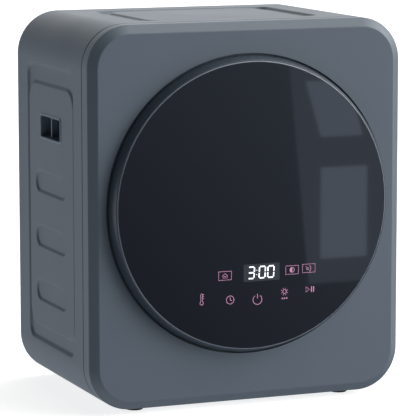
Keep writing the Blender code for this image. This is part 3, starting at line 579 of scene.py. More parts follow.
DISPLAY_X = (-0.0166, 0.0415)
DISPLAY_Z = (0.1920, 0.2180)
window = begin(bpy.ops.mesh.primitive_plane_add, "display_window",
               (DISPLAY_X[1] - DISPLAY_X[0], DISPLAY_Z[1] - DISPLAY_Z[0], 1), size=1,
               location=(sum(DISPLAY_X) / 2, FRONT, sum(DISPLAY_Z) / 2),
               rotation=(pi / 2, 0, 0))
bpy.ops.mesh.select_all(action="SELECT")
bpy.ops.mesh.bevel(offset=0.0012, segments=4, affect="VERTICES")
bpy.ops.mesh.select_all(action="SELECT")
bpy.ops.mesh.extrude_region_move(TRANSFORM_OT_translate={"value": (0, -0.00002, 0)})
even_normals(window)
# tinted acrylic film, smooth and a shade paler than the print around it
window_tint = moulded("display_window_tint", "#3A3E44", 0.09, grain=500.0, depth=0.00001)
finish(window, window_tint, "door", "black_plastic", "display_module")

DIGIT_HEIGHT = 0.0172
DIGIT_WIDTH = 0.0096
DIGIT_STROKE = 0.0024
DIGIT_BASE = 0.1966
SEGMENTS = {
    "top": ((0, 2), (1, 2)), "middle": ((0, 1), (1, 1)), "bottom": ((0, 0), (1, 0)),
    "upper_left": ((0, 1), (0, 2)), "upper_right": ((1, 1), (1, 2)),
    "lower_left": ((0, 0), (0, 1)), "lower_right": ((1, 0), (1, 1))}
SHAPES = {
    "3": ("top", "middle", "bottom", "upper_right", "lower_right"),
    "0": ("top", "bottom", "upper_left", "upper_right", "lower_left", "lower_right")}
SLANT = 0.06


def digit(shape, left):
    """The lit segments of one digit, each a short bar that stops short of its neighbours."""
    bars = []
    for segment in SHAPES[shape]:
        ends = []
        for a, b in SEGMENTS[segment]:
            z = b * DIGIT_HEIGHT / 2
            ends.append(Vector((left + a * DIGIT_WIDTH + z * SLANT, DIGIT_BASE + z)))
        gap = (ends[1] - ends[0]).normalized() * DIGIT_STROKE * 0.38
        bars.append(([tuple(ends[0] + gap), tuple(ends[1] - gap)], False))
    return bars


lit = digit("3", -0.0095) + digit("0", 0.0082) + digit("0", 0.0221)
for height in (0.0048, 0.0116):
    lit.append(([(0.00440, DIGIT_BASE + height), (0.00445, DIGIT_BASE + height + 0.0008)],
                False))
digits = flat_mark("display_digits", lit, DIGIT_STROKE, 0.00008)
# white light-emitting diodes under a diffuser: each bar is even and a little cooler in places
led_white = moulded("white_led_diffuser", "#E8ECF2", 0.30, grain=600.0, depth=0.00001)
tree, shader = led_white.node_tree, led_white.node_tree.nodes["Principled BSDF"]
place = add(tree, "ShaderNodeTexCoord", {}).outputs["Object"]
patch = add(tree, "ShaderNodeTexNoise", {"Vector": place, "Scale": 260.0, "Detail": 1.0})
glow = add(tree, "ShaderNodeMix", {"Factor": patch.outputs["Fac"]}, data_type="RGBA")
glow.inputs["A"].default_value = linear("#FFFFFF")
glow.inputs["B"].default_value = linear("#F1F5FF")
tree.links.new(glow.outputs["Result"], shader.inputs["Emission Color"])
shader.inputs["Emission Strength"].default_value = 0.9
finish(digits, led_white, "door", "black_plastic")

marks = []
for x, z in ((-0.0463, 0.2034), (0.0620, 0.2054), (0.0892, 0.2062)):
    marks.append((frame_points(x, z, 0.0205, 0.0128), True))
# a garment on the first pad, a half-filled disc on the second, a drop and an arc on the third
marks.append(([(-0.0496, 0.2001), (-0.0500, 0.2036), (-0.0463, 0.2068), (-0.0426, 0.2036),
               (-0.0430, 0.2001)], True))
marks.append(([(-0.0480, 0.2024), (-0.0446, 0.2024)], False))
marks.append((ring_points(0.0620, 0.2054, 0.0036, 0, 360, 20), False))
for inward, reach in ((0.0, 0.0034), (0.0009, 0.0032), (0.0018, 0.0027), (0.0027, 0.0016)):
    marks.append(([(0.0618 - inward, 0.2054 - reach), (0.0618 - inward, 0.2054 + reach)],
                  False))
marks.append((ring_points(0.0872, 0.2056, 0.0016, 0, 360, 12), False))
marks.append((ring_points(0.0862, 0.2058, 0.0062, -48, 48, 12), False))
marks.append(([(0.0840, 0.2082), (0.0856, 0.2094)], False))
# thermometer, clock, power, sun over three dots, play and pause
marks.append((ring_points(-0.0836, 0.1648, 0.0027, 120, 420, 16)
              + ring_points(-0.0836, 0.1772, 0.0014, 0, 180, 8), True))
for height in (0.1715, 0.1745, 0.1775):
    marks.append(([(-0.0812, height), (-0.0798, height)], False))
marks.append((ring_points(-0.0381, 0.1666, 0.0061), False))
marks.append(([(-0.0381, 0.1705), (-0.0381, 0.1666), (-0.0353, 0.1652)], False))
marks.append((ring_points(0.0058, 0.1641, 0.0072, 125, 415, 26), False))
marks.append(([(0.0058, 0.1728), (0.0058, 0.1660)], False))
marks.append((ring_points(0.0498, 0.1734, 0.0030, 0, 360, 14), False))
for ray in range(8):
    angle = 2 * pi * (ray + 0.5) / 8
    marks.append(([(0.0498 + r * cos(angle), 0.1734 + r * sin(angle))
                   for r in (0.0044, 0.0059)], False))
for dot in range(3):
    marks.append((ring_points(0.0464 + 0.0034 * dot, 0.1632, 0.0009, 0, 360, 8), False))
marks.append(([(0.0848, 0.1700), (0.0848, 0.1784), (0.0904, 0.1742)], True))
for x in (0.0935, 0.0940, 0.0969, 0.0974):
    marks.append(([(x, 0.1700), (x, 0.1784)], False))
touch_marks = flat_mark("touch_marks", marks, STROKE, 0.00005)
# screen-printed pink ink lit softly from behind: the stencil's threads leave it slightly uneven
pink_print = moulded("pink_screen_print", "#C98FB2", 0.35, grain=900.0, depth=0.00001)
tree, shader = pink_print.node_tree, pink_print.node_tree.nodes["Principled BSDF"]
place = add(tree, "ShaderNodeTexCoord", {}).outputs["Object"]
patch = add(tree, "ShaderNodeTexNoise", {"Vector": place, "Scale": 300.0, "Detail": 2.0})
glow = add(tree, "ShaderNodeMix", {"Factor": patch.outputs["Fac"]}, data_type="RGBA")
glow.inputs["A"].default_value = linear("#BD74A3")
glow.inputs["B"].default_value = linear("#D08AB8")
tree.links.new(glow.outputs["Result"], shader.inputs["Emission Color"])
shader.inputs["Emission Strength"].default_value = 0.35
finish(touch_marks, pink_print, "door", "black_plastic")


# Inner door frame, bowl and touch board. The frame is a grey moulding screwed into the ring,
# and it holds the rim of a clear moulded bowl that keeps laundry off the glass.

door_frame = turned("door_liner", [
    (0.1506, -0.0110, 0.0004), (0.2045, -0.0110, 0), (0.2045, -0.0236, 0.0003),
    (0.2065, -0.0236, 0.0003), (0.2065, -0.0110, 0), (0.2165, -0.0110, 0.0008),
    (0.2165, -0.0080, 0.0012), (0.1740, -0.0080, 0.0004), (0.1735, -0.0084, 0.0004),
    (0.1600, -0.0084, 0.0004), (0.1595, -0.0080, 0.0004), (0.1506, -0.0080, 0.0010)])
even_normals(door_frame)
drilled(door_frame, [block("hinge_room", (-0.230, behind(-0.030), DOOR_Z - 0.026),
                           (-0.178, behind(0.0), DOOR_Z + 0.026))])
# moulded polypropylene: waxy and even, with a soft broad highlight
grey_plastic = moulded("grey_polypropylene", "#7C7F82", 0.50)
finish(door_frame, grey_plastic, "door", "grey_plastic", "door_inner_frame")

bowl = turned("door_bowl_moulding", [
    (0, 0.0120, 0), (0.1300, 0.0098, 0.0040), (0.1475, -0.0114, 0.0030),
    (0.1475, -0.0136, 0.0010), (0.1580, -0.0136, 0.0008), (0.1580, -0.0114, 0.0008),
    (0.1498, -0.0114, 0.0010), (0.1345, 0.0110, 0.0060), (0, 0.0145, 0)], closed=False)
even_normals(bowl)
# smoked polycarbonate, polished in the mould: it is clear and glossy, with slow flow waves
clear_plastic, tree, shader = new_finish("smoked_polycarbonate", "#8E959C", 0.06, ior=1.58)
place = add(tree, "ShaderNodeTexCoord", {}).outputs["Object"]
flow = add(tree, "ShaderNodeTexNoise", {"Vector": place, "Scale": 22.0, "Detail": 2.0})
polish = add(tree, "ShaderNodeMapRange", {"Value": flow.outputs["Fac"], "To Min": 0.04,
                                          "To Max": 0.10})
tree.links.new(polish.outputs["Result"], shader.inputs["Roughness"])
bump = add(tree, "ShaderNodeBump", {"Height": flow.outputs["Fac"], "Strength": 0.08,
                                    "Distance": 0.001})
tree.links.new(bump.outputs["Normal"], shader.inputs["Normal"])
shader.inputs["Transmission Weight"].default_value = 0.85
finish(bowl, clear_plastic, "door", "clear_plastic", "door_bowl")


# Door seal. A round black EPDM bead pressed into a groove of the seat; the door's inner frame
# closes on it.

seal = turned("door_seal_bead", [
    (0.1640, -0.0047, 0.0006), (0.1710, -0.0047, 0.0006), (0.1707, -0.0064, 0.0010),
    (0.1690, -0.0077, 0.0012), (0.1662, -0.0077, 0.0012), (0.1643, -0.0064, 0.0010)])
even_normals(seal)
# extruded EPDM: near-black and matt, with a faintly pored skin
seal_rubber = moulded("epdm_rubber", "#1E1F21", 0.62, grain=500.0)
finish(seal, seal_rubber, "cabinet", "rubber", "door_seal")


# Hinge. A swan-neck bracket screwed to the seat, a leaf screwed to the door's inner frame and
# a pin with rolled ends, all pressed from stainless sheet and tumbled, so that no edge is sharp.

def eased(node, name, width, segments=2):
    """A copy of a CAD node with its doubles merged, its flats made whole and its edges rounded."""
    clear()
    piece = bpy.data.objects.new(name, frame["nodes"][node].data.copy())
    bpy.context.scene.collection.objects.link(piece)
    piece.select_set(True)
    bpy.context.view_layer.objects.active = piece
    bpy.ops.object.mode_set(mode="EDIT")
    bpy.ops.mesh.select_all(action="SELECT")
    bpy.ops.mesh.remove_doubles(threshold=0.000004)
    bpy.ops.mesh.dissolve_limited(angle_limit=radians(1))
    modify(piece, "BEVEL", width=width, segments=segments, limit_method="ANGLE",
           angle_limit=radians(35), use_clamp_overlap=True)
    return piece


def brushed(name, colour, roughness, stretch=(1.0, 60.0, 1.0), scale=160.0):
    """Metal with fine parallel scratches; stretch says along which axis they run closest."""
    material, tree, shader = new_finish(name, colour, roughness, metallic=1.0)
    place = add(tree, "ShaderNodeTexCoord", {}).outputs["Object"]
    along = add(tree, "ShaderNodeMapping", {"Vector": place, "Scale": stretch})
    lines = add(tree, "ShaderNodeTexNoise", {"Vector": along.outputs["Vector"],
                                             "Scale": scale, "Detail": 3.0})
    tone = add(tree, "ShaderNodeMapRange", {"Value": lines.outputs["Fac"],
                                            "From Min": 0.25, "From Max": 0.75,
                                            "To Min": roughness - 0.07,
                                            "To Max": roughness + 0.09})
    tree.links.new(tone.outputs["Result"], shader.inputs["Roughness"])
    bump = add(tree, "ShaderNodeBump", {"Height": lines.outputs["Fac"], "Strength": 0.12,
                                        "Distance": 0.00005})
    tree.links.new(bump.outputs["Normal"], shader.inputs["Normal"])
    return material


# stainless sheet: bright but soft, with fine scratches that spread its highlight
stainless = brushed("brushed_stainless", "#BFC1C2", 0.30)
for node, name, width in (("hinge_bracket", "hinge_swan_neck", 0.0004),
                          ("hinge_leaf", "hinge_door_leaf", 0.0004)):
    finish(eased(node, name, width), stainless,
           "cabinet" if node == "hinge_bracket" else "door", "stainless", node)
pin_low, pin_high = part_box("hinge_pin")
pin_height = (pin_high.z - pin_low.z) / 2
pin = turned("hinge_pin_rolled", [
    (0, -pin_height, 0), (0.0014, -pin_height, 0.0003), (0.0020, -pin_height + 0.0008, 0.0003),
    (0.0020, pin_height - 0.0008, 0.0003), (0.0014, pin_height, 0.0003), (0, pin_height, 0)],
             steps=32, closed=False, centre=(pin_low + pin_high) / 2, upright=True)
even_normals(pin)
finish(pin, stainless, "cabinet", "stainless", "hinge_pin")


def screw_head(name, place, facing, radius=0.0034, height=0.0018):
    """A pan-head screw with a cross recess, standing out along Y (facing is -1 or 1)."""
    head = turned(name, [(0, facing * height, 0), (radius * 0.62, facing * height, 0.0010),
                         (radius, facing * height * 0.35, 0.0008), (radius, 0, 0), (0, 0, 0)],
                  steps=24, closed=False, centre=place)
    even_normals(head)
    arms = []
    for wide, tall in ((0.55, 0.13), (0.13, 0.55)):
        arms.append(block("cross", (place[0] - radius * wide, place[1] + facing * height * 0.45,
                                    place[2] - radius * tall),
                          (place[0] + radius * wide, place[1] + facing * height * 1.5,
                           place[2] + radius * tall)))
        clear()
    drilled(head, arms)
    return head


for number, height in enumerate((-0.0150, 0.0150)):
    finish(screw_head(f"hinge_screw_{number + 1}", (-0.1855, behind(-0.0068),
                                                    DOOR_Z + height), -1, 0.0027, 0.0012),
           stainless, "cabinet", "stainless")
for number, angle in enumerate((20, 50, 90, 130, 230, 270, 310, 340)):
    finish(screw_head(f"liner_screw_{number + 1}",
                      (0.1910 * cos(radians(angle)), behind(-0.0080),
                       DOOR_Z + 0.1910 * sin(radians(angle))), 1, 0.0030, 0.0014),
           stainless, "door", "stainless")


# Latch and door switch. A stainless hook on the door enters a moulded box behind the seat,
# where a sprung pawl holds it; a spring-loaded plunger tells the controls that it is shut.

# moulded black ABS: satin, with an even spark-eroded grain
black_abs = moulded("black_abs", "#1D1E20", 0.42)
# moulded acetal, a slippery plastic: off-white, with a waxy sheen
acetal = moulded("white_acetal", "#D6D3CA", 0.38)
for node, name, width, material, body, slot in (
        ("latch_hook", "latch_strike_hook", 0.0003, stainless, "door", "stainless"),
        ("latch_housing", "latch_box", 0.0006, black_abs, "cabinet", "black_plastic"),
        ("latch_pawl", "latch_sprung_pawl", 0.0004, acetal, "pawl", "grey_plastic"),
        ("door_switch_case", "switch_case", 0.0006, black_abs, "cabinet", "black_plastic")):
    finish(eased(node, name, width), material, body, slot, node)
plunger_low, plunger_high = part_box("door_switch_plunger")
plunger = turned("switch_plunger", [
    (0, 0, 0), (0.0029, 0, 0.0018), (0.0029, plunger_high.y - plunger_low.y, 0.0004),
    (0, plunger_high.y - plunger_low.y, 0)], steps=32, closed=False,
                 centre=((plunger_low.x + plunger_high.x) / 2, plunger_low.y,
                         (plunger_low.z + plunger_high.z) / 2))
even_normals(plunger)
finish(plunger, acetal, "plunger", "grey_plastic", "door_switch_plunger")


# Front bulkhead. A galvanised plate across the cabinet; its drawn neck carries the front of
# the drum on a felt ring, and the lint filter drops into the bottom of the neck.

neck = turned("bulkhead_plate", [
    (MOUTH_RADIUS, -0.0006, 0.0002), (0.1780, -0.0006, 0.0002), (0.1780, -0.0020, 0.0004),
    (0.1600, -0.0020, 0.0008), (0.1575, -0.0008, 0.0012), (0.1575, 0.0425, 0.0004),
    (0.1578, 0.0440, 0.0004), (MOUTH_RADIUS, 0.0440, 0.0002), (MOUTH_RADIUS, 0.0322, 0),
    (MOUTH_RADIUS, 0.0310, 0)])
even_normals(neck)
plate = block("plate", (-HALF + 0.0022, behind(0.0310), BODY_BOTTOM + 0.0022),
              (HALF - 0.0022, behind(0.0322), BODY_TOP - 0.0022))
bend_long_edges(plate, CORNER_RADIUS - 0.0022, 12)
clear()
drilled(plate, [begin(bpy.ops.mesh.primitive_cylinder_add, "bore", vertices=ROUND_STEPS,
                      radius=MOUTH_RADIUS - 0.0007, depth=0.060,
                      location=(0, behind(0.030), DOOR_Z), rotation=(pi / 2, 0, 0))])
modify(neck, "BOOLEAN", operation="UNION", solver="EXACT", object=plate)
bpy.data.objects.remove(plate)
drilled(neck, [
    block("filter_mouth", (-0.0640, behind(0.0172), 0.10), (0.0640, behind(0.0300), 0.20)),
    block("duct_window", (-0.0615, behind(0.020), 0.0125), (0.0365, behind(0.040), 0.0520)),
    block("latch_room", (0.176, behind(-0.010), DOOR_Z - 0.022),
          (0.230, behind(0.020), DOOR_Z + 0.022)),
    block("switch_room", (SWITCH.x - 0.014, behind(-0.010), SWITCH.z - 0.012),
          (SWITCH.x + 0.014, behind(0.025), SWITCH.z + 0.012))])
# zinc-plated steel: duller and warmer than stainless, clouded and not scratched one way
zinc = brushed("zinc_plated_steel", "#A9ABA8", 0.38, stretch=(1.0, 1.0, 1.0), scale=220.0)
finish(neck, zinc, "cabinet", "zinc_steel", "front_bulkhead")


# Felt rings. Pressed wool felt glued round the neck and in front of the rear duct; the drum
# slides on it. Its surface is matt and fibrous.

felt, tree, shader = new_finish("pressed_wool_felt", "#B9B3A4", 0.95)
place = add(tree, "ShaderNodeTexCoord", {}).outputs["Object"]
fibres = add(tree, "ShaderNodeTexNoise", {"Vector": place, "Scale": 700.0, "Detail": 4.0,
                                          "Distortion": 1.5})
bump = add(tree, "ShaderNodeBump", {"Height": fibres.outputs["Fac"], "Strength": 0.5,
                                    "Distance": 0.0004})
tree.links.new(bump.outputs["Normal"], shader.inputs["Normal"])
shader.inputs["Sheen Weight"].default_value = 0.25
for node, inner, outer, front, back in (("front_felt", 0.1594, 0.1672, 0.0350, 0.0440),
                                        ("rear_felt", 0.1570, 0.1630, 0.2682, 0.2722)):
    band = turned(node + "_band", [(inner, front, 0), (outer, front, 0.0010),
                                   (outer, back, 0.0010), (inner, back, 0)], steps=128)
    even_normals(band)
    finish(band, felt, "cabinet", "felt", node)


# Lint filter. A grey cassette with a fine woven screen in both faces; its curved top lies
# flush with the neck, and has two finger dips to lift it by.

cassette = eased("lint_filter", "lint_cassette", 0.0006)
finish(cassette, grey_plastic, "filter", "grey_plastic", "lint_filter")
# woven polyester thread: grey and semi-matt, roughened by its fibres
screen_mesh, tree, shader = new_finish("woven_filter_screen", "#9DA0A3", 0.55)
place = add(tree, "ShaderNodeTexCoord", {}).outputs["Object"]
thread = add(tree, "ShaderNodeTexNoise", {"Vector": place, "Scale": 1500.0})
bump = add(tree, "ShaderNodeBump", {"Height": thread.outputs["Fac"], "Strength": 0.3,
                                    "Distance": 0.0001})
tree.links.new(bump.outputs["Normal"], shader.inputs["Normal"])
for label, depth in (("front", 0.0215), ("back", 0.0255)):
    # the real threads lie 0.3 mm apart; drawn 2 mm apart so that they show
    screen = begin(bpy.ops.mesh.primitive_grid_add, f"lint_screen_{label}",
                   (0.1080, 0.0660, 1), x_subdivisions=54, y_subdivisions=33, size=1,
                   location=(0, behind(depth), 0.1010), rotation=(pi / 2, 0, 0))
    modify(screen, "WIREFRAME", thickness=0.0005, use_replace=True, use_even_offset=True)
    finish(screen, screen_mesh, "filter", "grey_plastic")
finish(eased("filter_housing", "lint_filter_well", 0.0006), grey_plastic, "cabinet",
       "grey_plastic", "filter_housing")


# Drum. Rolled from brushed stainless sheet, with a necked front and pressed stiffening beads;
# the back is pressed from sheet and pierced with rosettes of small air holes.

def beads(radius, start, end, count, height):
    """A wall with rounded beads: (radius, depth, softness) corners from start to end."""
    corners = []
    for number in range(count):
        middle = start + (end - start) * (number + 0.5) / count
        corners += [(radius, middle - 0.0050, 0.0030), (radius + height, middle, 0.0032),
                    (radius, middle + 0.0050, 0.0030)]
    return corners


inside = beads(0.2040, 0.0700, 0.0980, 1, 0.0007) + beads(0.2040, 0.1100, 0.2620, 3, 0.0007)
outside = beads(0.2048, 0.0700, 0.0980, 1, 0.0002) + beads(0.2048, 0.1100, 0.2620, 3, 0.0002)
shell = turned("drum_shell", [
    (0.1680, 0.0362, 0.0002), (0.1690, 0.0362, 0.0002), (0.1690, 0.0450, 0.0030),
    (0.2048, 0.0615, 0.0060)] + outside + [
    (0.2050, 0.2720, 0.0003), (0.1960, 0.2720, 0.0003), (0.1960, 0.2710, 0.0003),
    (0.2040, 0.2710, 0.0010)] + inside[::-1] + [
    (0.2040, 0.0622, 0.0060), (0.1680, 0.0457, 0.0030)])
even_normals(shell)
# rolled stainless sheet: the brightest metal here, scratched round the drum's wall
drum_steel = brushed("rolled_drum_stainless", "#C4C6C8", 0.24, stretch=(1.0, 40.0, 1.0),
                     scale=120.0)
finish(shell, drum_steel, "drum_assembly", "stainless", "drum")

back = turned("drum_pressed_back", [
    (0.0086, 0.2610, 0), (0.0560, 0.2610, 0.0040), (0.0660, 0.2660, 0.0040),
    (0.0850, 0.2660, 0.0030), (0.0880, 0.2652, 0.0020), (0.1420, 0.2652, 0.0020),
    (0.1450, 0.2660, 0.0030), (0.1700, 0.2660, 0.0030), (0.1740, 0.2648, 0.0030),
    (0.1780, 0.2660, 0.0030), (0.2034, 0.2660, 0), (0.2034, 0.2672, 0),
    (0.1450, 0.2672, 0.0030), (0.1420, 0.2664, 0.0020), (0.0880, 0.2664, 0.0020),
    (0.0850, 0.2672, 0.0030), (0.0655, 0.2672, 0.0040), (0.0555, 0.2622, 0.0040),
    (0.0086, 0.2622, 0)])
even_normals(back)
HOLE_PITCH = 0.0058
HOLE_RADIUS = 0.0019
punches = []
for rosette in range(8):
    angle = 2 * pi * (rosette + 0.13) / 8
    centre = Vector((0.115 * cos(angle), 0.115 * sin(angle)))
    for row in range(-2, 3):
        count = 5 - abs(row)
        for column in range(count):
            x = (column - (count - 1) / 2) * HOLE_PITCH
            z = row * HOLE_PITCH * 0.866
            place = centre + Matrix.Rotation(angle, 2) @ Vector((x, z))
            punches.append(begin(bpy.ops.mesh.primitive_cylinder_add, "punch", vertices=12,
                                 radius=HOLE_RADIUS, depth=0.010,
                                 location=(place.x, behind(0.2660), DOOR_Z + place.y),
                                 rotation=(pi / 2, 0, 0)))
punches = joined(punches)
clear()
drilled(back, [punches])
finish(back, drum_steel, "drum_assembly", "stainless", "drum_back")

cap = turned("drum_centre_cap", [
    (0, 0.2560, 0), (0.0160, 0.2568, 0.0040), (0.0225, 0.2596, 0.0024), (0.0228, 0.2609, 0),
    (0, 0.2609, 0)], steps=64, closed=False)
even_normals(cap)
finish(cap, grey_plastic, "drum_assembly", "grey_plastic")

# moulded polypropylene: a little lighter and glossier than the door liner's
lifter_plastic = moulded("lifter_polypropylene", "#8B8E91", 0.45)
for number in (1, 2, 3):
    node = f"drum_lifter_{number}"
    finish(eased(node, f"drum_baffle_{number}", 0.0050, 5), lifter_plastic, "drum_assembly",
           "grey_plastic", node)


# Rear panel. A galvanised tray closes the back; pressed ribs stiffen it and pan-head screws
# hold it to the wrap's edge.

rear_low, rear_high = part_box("rear_panel")
EXHAUST = Vector((0.190, 0, 0.134))
INLET = Vector((-0.185, 0, 0.078))
tray = block("rear_tray", rear_low, (rear_high.x, behind(0.3155), rear_high.z))
bend_long_edges(tray, CORNER_RADIUS - 0.0016, 16)
choose(tray, "FACE", lambda f: f.normal.y > 0.9)
insets(softened([(0.0, 0.0, 0), (0.0, 0.0060, 0.0003), (0.0014, 0.0060, 0.0003),
                 (0.0014, 0.0, 0.0012), (0.0120, 0.0, 0.0010), (0.0160, 0.0016, 0.0020),
                 (0.0220, 0.0016, 0)]))
clear()
drilled(tray, [
    begin(bpy.ops.mesh.primitive_cylinder_add, "exhaust_hole", vertices=96, radius=0.0466,
          depth=0.030, location=(EXHAUST.x, behind(0.316), EXHAUST.z), rotation=(pi / 2, 0, 0)),
    begin(bpy.ops.mesh.primitive_cylinder_add, "cord_hole", vertices=48, radius=0.0094,
          depth=0.030, location=(INLET.x, behind(0.316), INLET.z), rotation=(pi / 2, 0, 0)),
    block("hot_air_window", (-0.069, behind(0.300), 0.388), (0.069, behind(0.330), 0.432))])
finish(tray, zinc, "cabinet", "zinc_steel", "rear_panel")
for number, (x, z) in enumerate(((-0.150, 0.022), (0.0, 0.022), (0.120, 0.022),
                                 (-0.232, 0.200), (-0.232, 0.390), (0.232, 0.250),
                                 (0.232, 0.430), (-0.120, 0.560), (0.120, 0.560))):
    finish(screw_head(f"rear_screw_{number + 1}", (x, behind(0.3155), z), 1), stainless,
           "cabinet", "stainless")


# Rear duct cover. A deep-drawn steel cover, painted like the cabinet, over the heater; room
# air enters through its five slots.

COVER_BACK = 0.355
duct_cover = block("rear_duct_cover", (-0.165, behind(0.3172), 0.195),
                   (0.165, behind(COVER_BACK - 0.008), 0.485))
bend_long_edges(duct_cover, 0.050, 20)
choose(duct_cover, "FACE", lambda f: f.normal.y > 0.9)
insets([(0.010 * (1 - cos(radians(angle))), 0.008 * sin(radians(angle)))
        for angle in range(0, 91, 10)] + [(0.022, 0.008)])
choose(duct_cover, "FACE", lambda f: f.normal.y < -0.9)
bpy.ops.mesh.delete(type="FACE")
even_normals(duct_cover)
modify(duct_cover, "SOLIDIFY", thickness=0.0014, offset=-1, use_even_offset=True)
slots = []
for number in range(5):
    height = 0.225 + 0.018 * number
    slots.append(block("intake_slot", (-0.090, behind(0.345), height),
                       (0.090, behind(0.370), height + 0.008)))
    bend_long_edges(slots[-1], 0.0039, 6)
    clear()
drilled(duct_cover, slots)
finish(duct_cover, slate_paint, "cabinet", "cabinet_paint", "rear_cover")


# Exhaust collar, cord inlet and feet. The collar is rolled from galvanised sheet with a bead
# for a hose clip, the inlet is a moulded grommet, and each foot is a rubber pad on a stud.

collar = turned("exhaust_spigot", [
    (0.0442, 0.2626, 0), (0.0458, 0.2626, 0), (0.0458, 0.3450, 0.0010),
    (0.0464, 0.3475, 0.0012), (0.0458, 0.3500, 0.0010), (0.0458, 0.3535, 0.0006),
    (0.0446, 0.3535, 0.0006), (0.0442, 0.3500, 0.0010), (0.0448, 0.3475, 0.0012),
    (0.0442, 0.3450, 0.0010)], steps=128, centre=(EXHAUST.x, behind(0.0), EXHAUST.z))
even_normals(collar)
finish(collar, zinc, "cabinet", "zinc_steel", "exhaust_collar")

grommet = turned("cord_grommet", [
    (0.0042, 0.3100, 0.0003), (0.0088, 0.3100, 0.0006), (0.0088, 0.3160, 0.0004),
    (0.0130, 0.3160, 0.0005), (0.0126, 0.3205, 0.0012), (0.0100, 0.3240, 0.0014),
    (0.0050, 0.3240, 0.0008), (0.0042, 0.3220, 0.0006)], steps=64,
                 centre=(INLET.x, behind(0.0), INLET.z))
even_normals(grommet)
finish(grommet, black_abs, "cabinet", "black_plastic", "cord_inlet")

# moulded rubber: matt and charcoal, with an open grain
foot_rubber = moulded("foot_rubber", "#26272A", 0.70, grain=400.0)
for place in ("front_left", "front_right", "rear_left", "rear_right"):
    foot_low, foot_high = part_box("foot_" + place)
    middle = (foot_low + foot_high) / 2
    foot = turned("foot_pad_" + place, [
        (0, 0, 0), (0.0085, 0, 0.0003), (0.0092, 0.0006, 0.0003), (0.0118, 0.0006, 0.0003),
        (0.0124, 0, 0.0003), (0.0134, 0.0010, 0.0008), (0.0120, foot_high.z - 0.0006, 0.0008),
        (0.0100, foot_high.z, 0.0004), (0, foot_high.z, 0)], steps=64, closed=False,
                  centre=(middle.x, middle.y, 0.0), upright=True)
    even_normals(foot)
    finish(foot, foot_rubber, "cabinet", "rubber", "foot_" + place)


# Running gear. The motor, fan, belt, idler, heater, ducts and boards keep their made shapes
# and take the finish of what each is made of.

# die-cast aluminium: a coarse skin with a dull shine
cast_aluminium = moulded("cast_aluminium", "#B4B5B3", 0.48, grain=600.0, depth=0.0002)
cast_aluminium.node_tree.nodes["Principled BSDF"].inputs["Metallic"].default_value = 1.0
# moulded belt rubber: near-black and matt
belt_rubber = moulded("belt_rubber", "#232425", 0.66, grain=450.0)
# solder mask on glass-fibre board: green, with an even semi-gloss
soldered_board = moulded("green_circuit_board", "#27543A", 0.35, grain=1200.0)
# pressed mica and fired ceramic: cream, chalky and rough to the touch
mica = moulded("mica_and_ceramic", "#C9BFA8", 0.60, grain=300.0, depth=0.0003)
FINISHES = {"zinc_steel": zinc, "stainless": stainless, "aluminium": cast_aluminium,
            "black_plastic": black_abs, "grey_plastic": grey_plastic, "rubber": belt_rubber,
            "circuit": soldered_board, "ceramic": mica, "felt": felt}
slot_of = {row["node"]: row["material_slot"] for row in frame["record"]["subparts"]}
for node, shape in frame["nodes"].items():
    if not shape.hide_render:
        shape.data.materials.clear()
        shape.data.materials.append(FINISHES[slot_of[node]])


# Floor, light and camera. A plain white sweep in soft light, most of it from the right and from
# above; the camera stands to the front left, a little above the top, with a long lens.

clear()
bpy.ops.mesh.primitive_plane_add(size=60, location=(0, 0, 0))
floor = bpy.context.object
floor.name = "studio_floor"
white_sweep, tree, shader = new_finish("white_sweep", "#B8B8B8", 0.9)
shader.inputs["Emission Color"].default_value = (1, 1, 1, 1)
shader.inputs["Emission Strength"].default_value = 0.80
floor.data.materials.append(white_sweep)
floor.visible_glossy = floor.visible_diffuse = floor.visible_shadow = False

world = bpy.data.worlds.new("studio")
bpy.context.scene.world = world
world.use_nodes = True
tree = world.node_tree
background = tree.nodes["Background"]
direction = add(tree, "ShaderNodeTexCoord", {}).outputs["Generated"]
# six soft boxes: degrees right of the front, degrees up, cosine where its glow ends, colour
WHITE, SKY = Vector((1.0, 1.0, 1.0)), Vector((0.94, 1.0, 1.08))
KEY = (62, 15, 0.75, WHITE * 4.2)
OVERHEAD = (90, 55, 0.6, WHITE * 2.4)
REAR = (150, 10, 0.6, WHITE * 1.0)
LEFT_FILL = (-125, 0, 0.6, SKY * 0.35)
LEFT_BOUNCE = (-115, -40, 0.45, SKY * 0.85)
FRONT_BOUNCE = (0, -60, 0.5, SKY * 0.6)
glow = (0.02, 0.02, 0.02)
for turn, rise, edge, colour in (KEY, OVERHEAD, REAR, LEFT_FILL, LEFT_BOUNCE,
                                  FRONT_BOUNCE):
    turn, rise = radians(turn), radians(rise)
    aim = (sin(turn) * cos(rise), -cos(turn) * cos(rise), sin(rise))
    toward = add(tree, "ShaderNodeVectorMath", {0: direction, 1: aim},
                 operation="DOT_PRODUCT").outputs["Value"]
    near = add(tree, "ShaderNodeMapRange", {"Value": toward, "From Min": edge,
                                            "From Max": 1.0},
               interpolation_type="SMOOTHSTEP").outputs["Result"]
    box = add(tree, "ShaderNodeVectorMath", {0: colour, "Scale": near},
              operation="SCALE").outputs["Vector"]
    glow = add(tree, "ShaderNodeVectorMath", {0: box, 1: glow},
               operation="ADD").outputs["Vector"]
seen = add(tree, "ShaderNodeLightPath", {}).outputs["Is Camera Ray"]
level = add(tree, "ShaderNodeMix", {"Factor": seen}, data_type="VECTOR")
tree.links.new(glow, level.inputs["A"])
level.inputs["B"].default_value = (1, 1, 1)
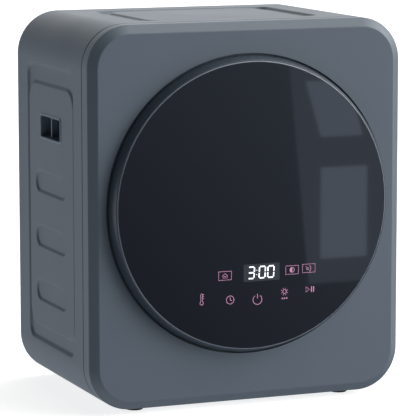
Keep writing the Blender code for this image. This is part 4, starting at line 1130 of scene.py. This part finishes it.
tree.links.new(level.outputs["Result"], background.inputs["Color"])

# A pale wall and a window of two panes stand a metre in front; they only show as soft
# reflections in the glass. Each has its left, right, bottom and top, and a lean of its sides.
for name, y, strength, left, right, bottom, top, lean in (
        ("room_wall", -1.32, None, 0.10, 0.95, -0.30, 0.60, 0.0),
        ("window_frame", -1.31, 1.1, 0.59, 0.88, -0.03, 0.40, -0.1),
        ("window_pane_low", -1.30, 2.2, 0.61, 0.71, 0.02, 0.20, 0.0),
        ("window_pane_high", -1.30, 2.1, 0.61, 0.70, 0.26, 0.37, -0.3)):
    shift = lean * (top - bottom)
    corners = ((left, bottom), (right, bottom), (right + shift, top), (left + shift, top))
    mesh = bpy.data.meshes.new(name)
    mesh.from_pydata([(x, y, z) for x, z in corners], [], [(0, 1, 2, 3)])
    pane = bpy.data.objects.new(name, mesh)
    bpy.context.scene.collection.objects.link(pane)
    pane_light, tree, shader = new_finish(name, "#000000", 1.0)
    shader.inputs["Emission Color"].default_value = linear("#CFDDF5")
    if strength is None:
        place = add(tree, "ShaderNodeTexCoord", {}).outputs["Object"]
        rise = add(tree, "ShaderNodeVectorMath", {0: place, 1: (0.6, 0.0, 0.5)},
                   operation="DOT_PRODUCT").outputs["Value"]
        fade = add(tree, "ShaderNodeMath", {0: rise, 1: 0.15}, operation="ADD")
        tree.links.new(fade.outputs["Value"], shader.inputs["Emission Strength"])
    else:
        shader.inputs["Emission Strength"].default_value = strength
    mesh.materials.append(pane_light)
    pane.visible_camera = pane.visible_diffuse = pane.visible_shadow = False

VIEW = Vector((-1.5361, -3.8218, 0.8728))
YAW, PITCH = radians(-21.961), radians(90 - 8.239)
camera_data = bpy.data.cameras.new("camera")
camera_data.lens = 232.82
camera_data.sensor_width = 36
camera = bpy.data.objects.new("camera", camera_data)
camera.location = VIEW
camera.rotation_euler = (PITCH, radians(0.06), YAW)
bpy.context.scene.collection.objects.link(camera)
bpy.context.scene.camera = camera
bpy.context.scene.view_settings.view_transform = "Standard"
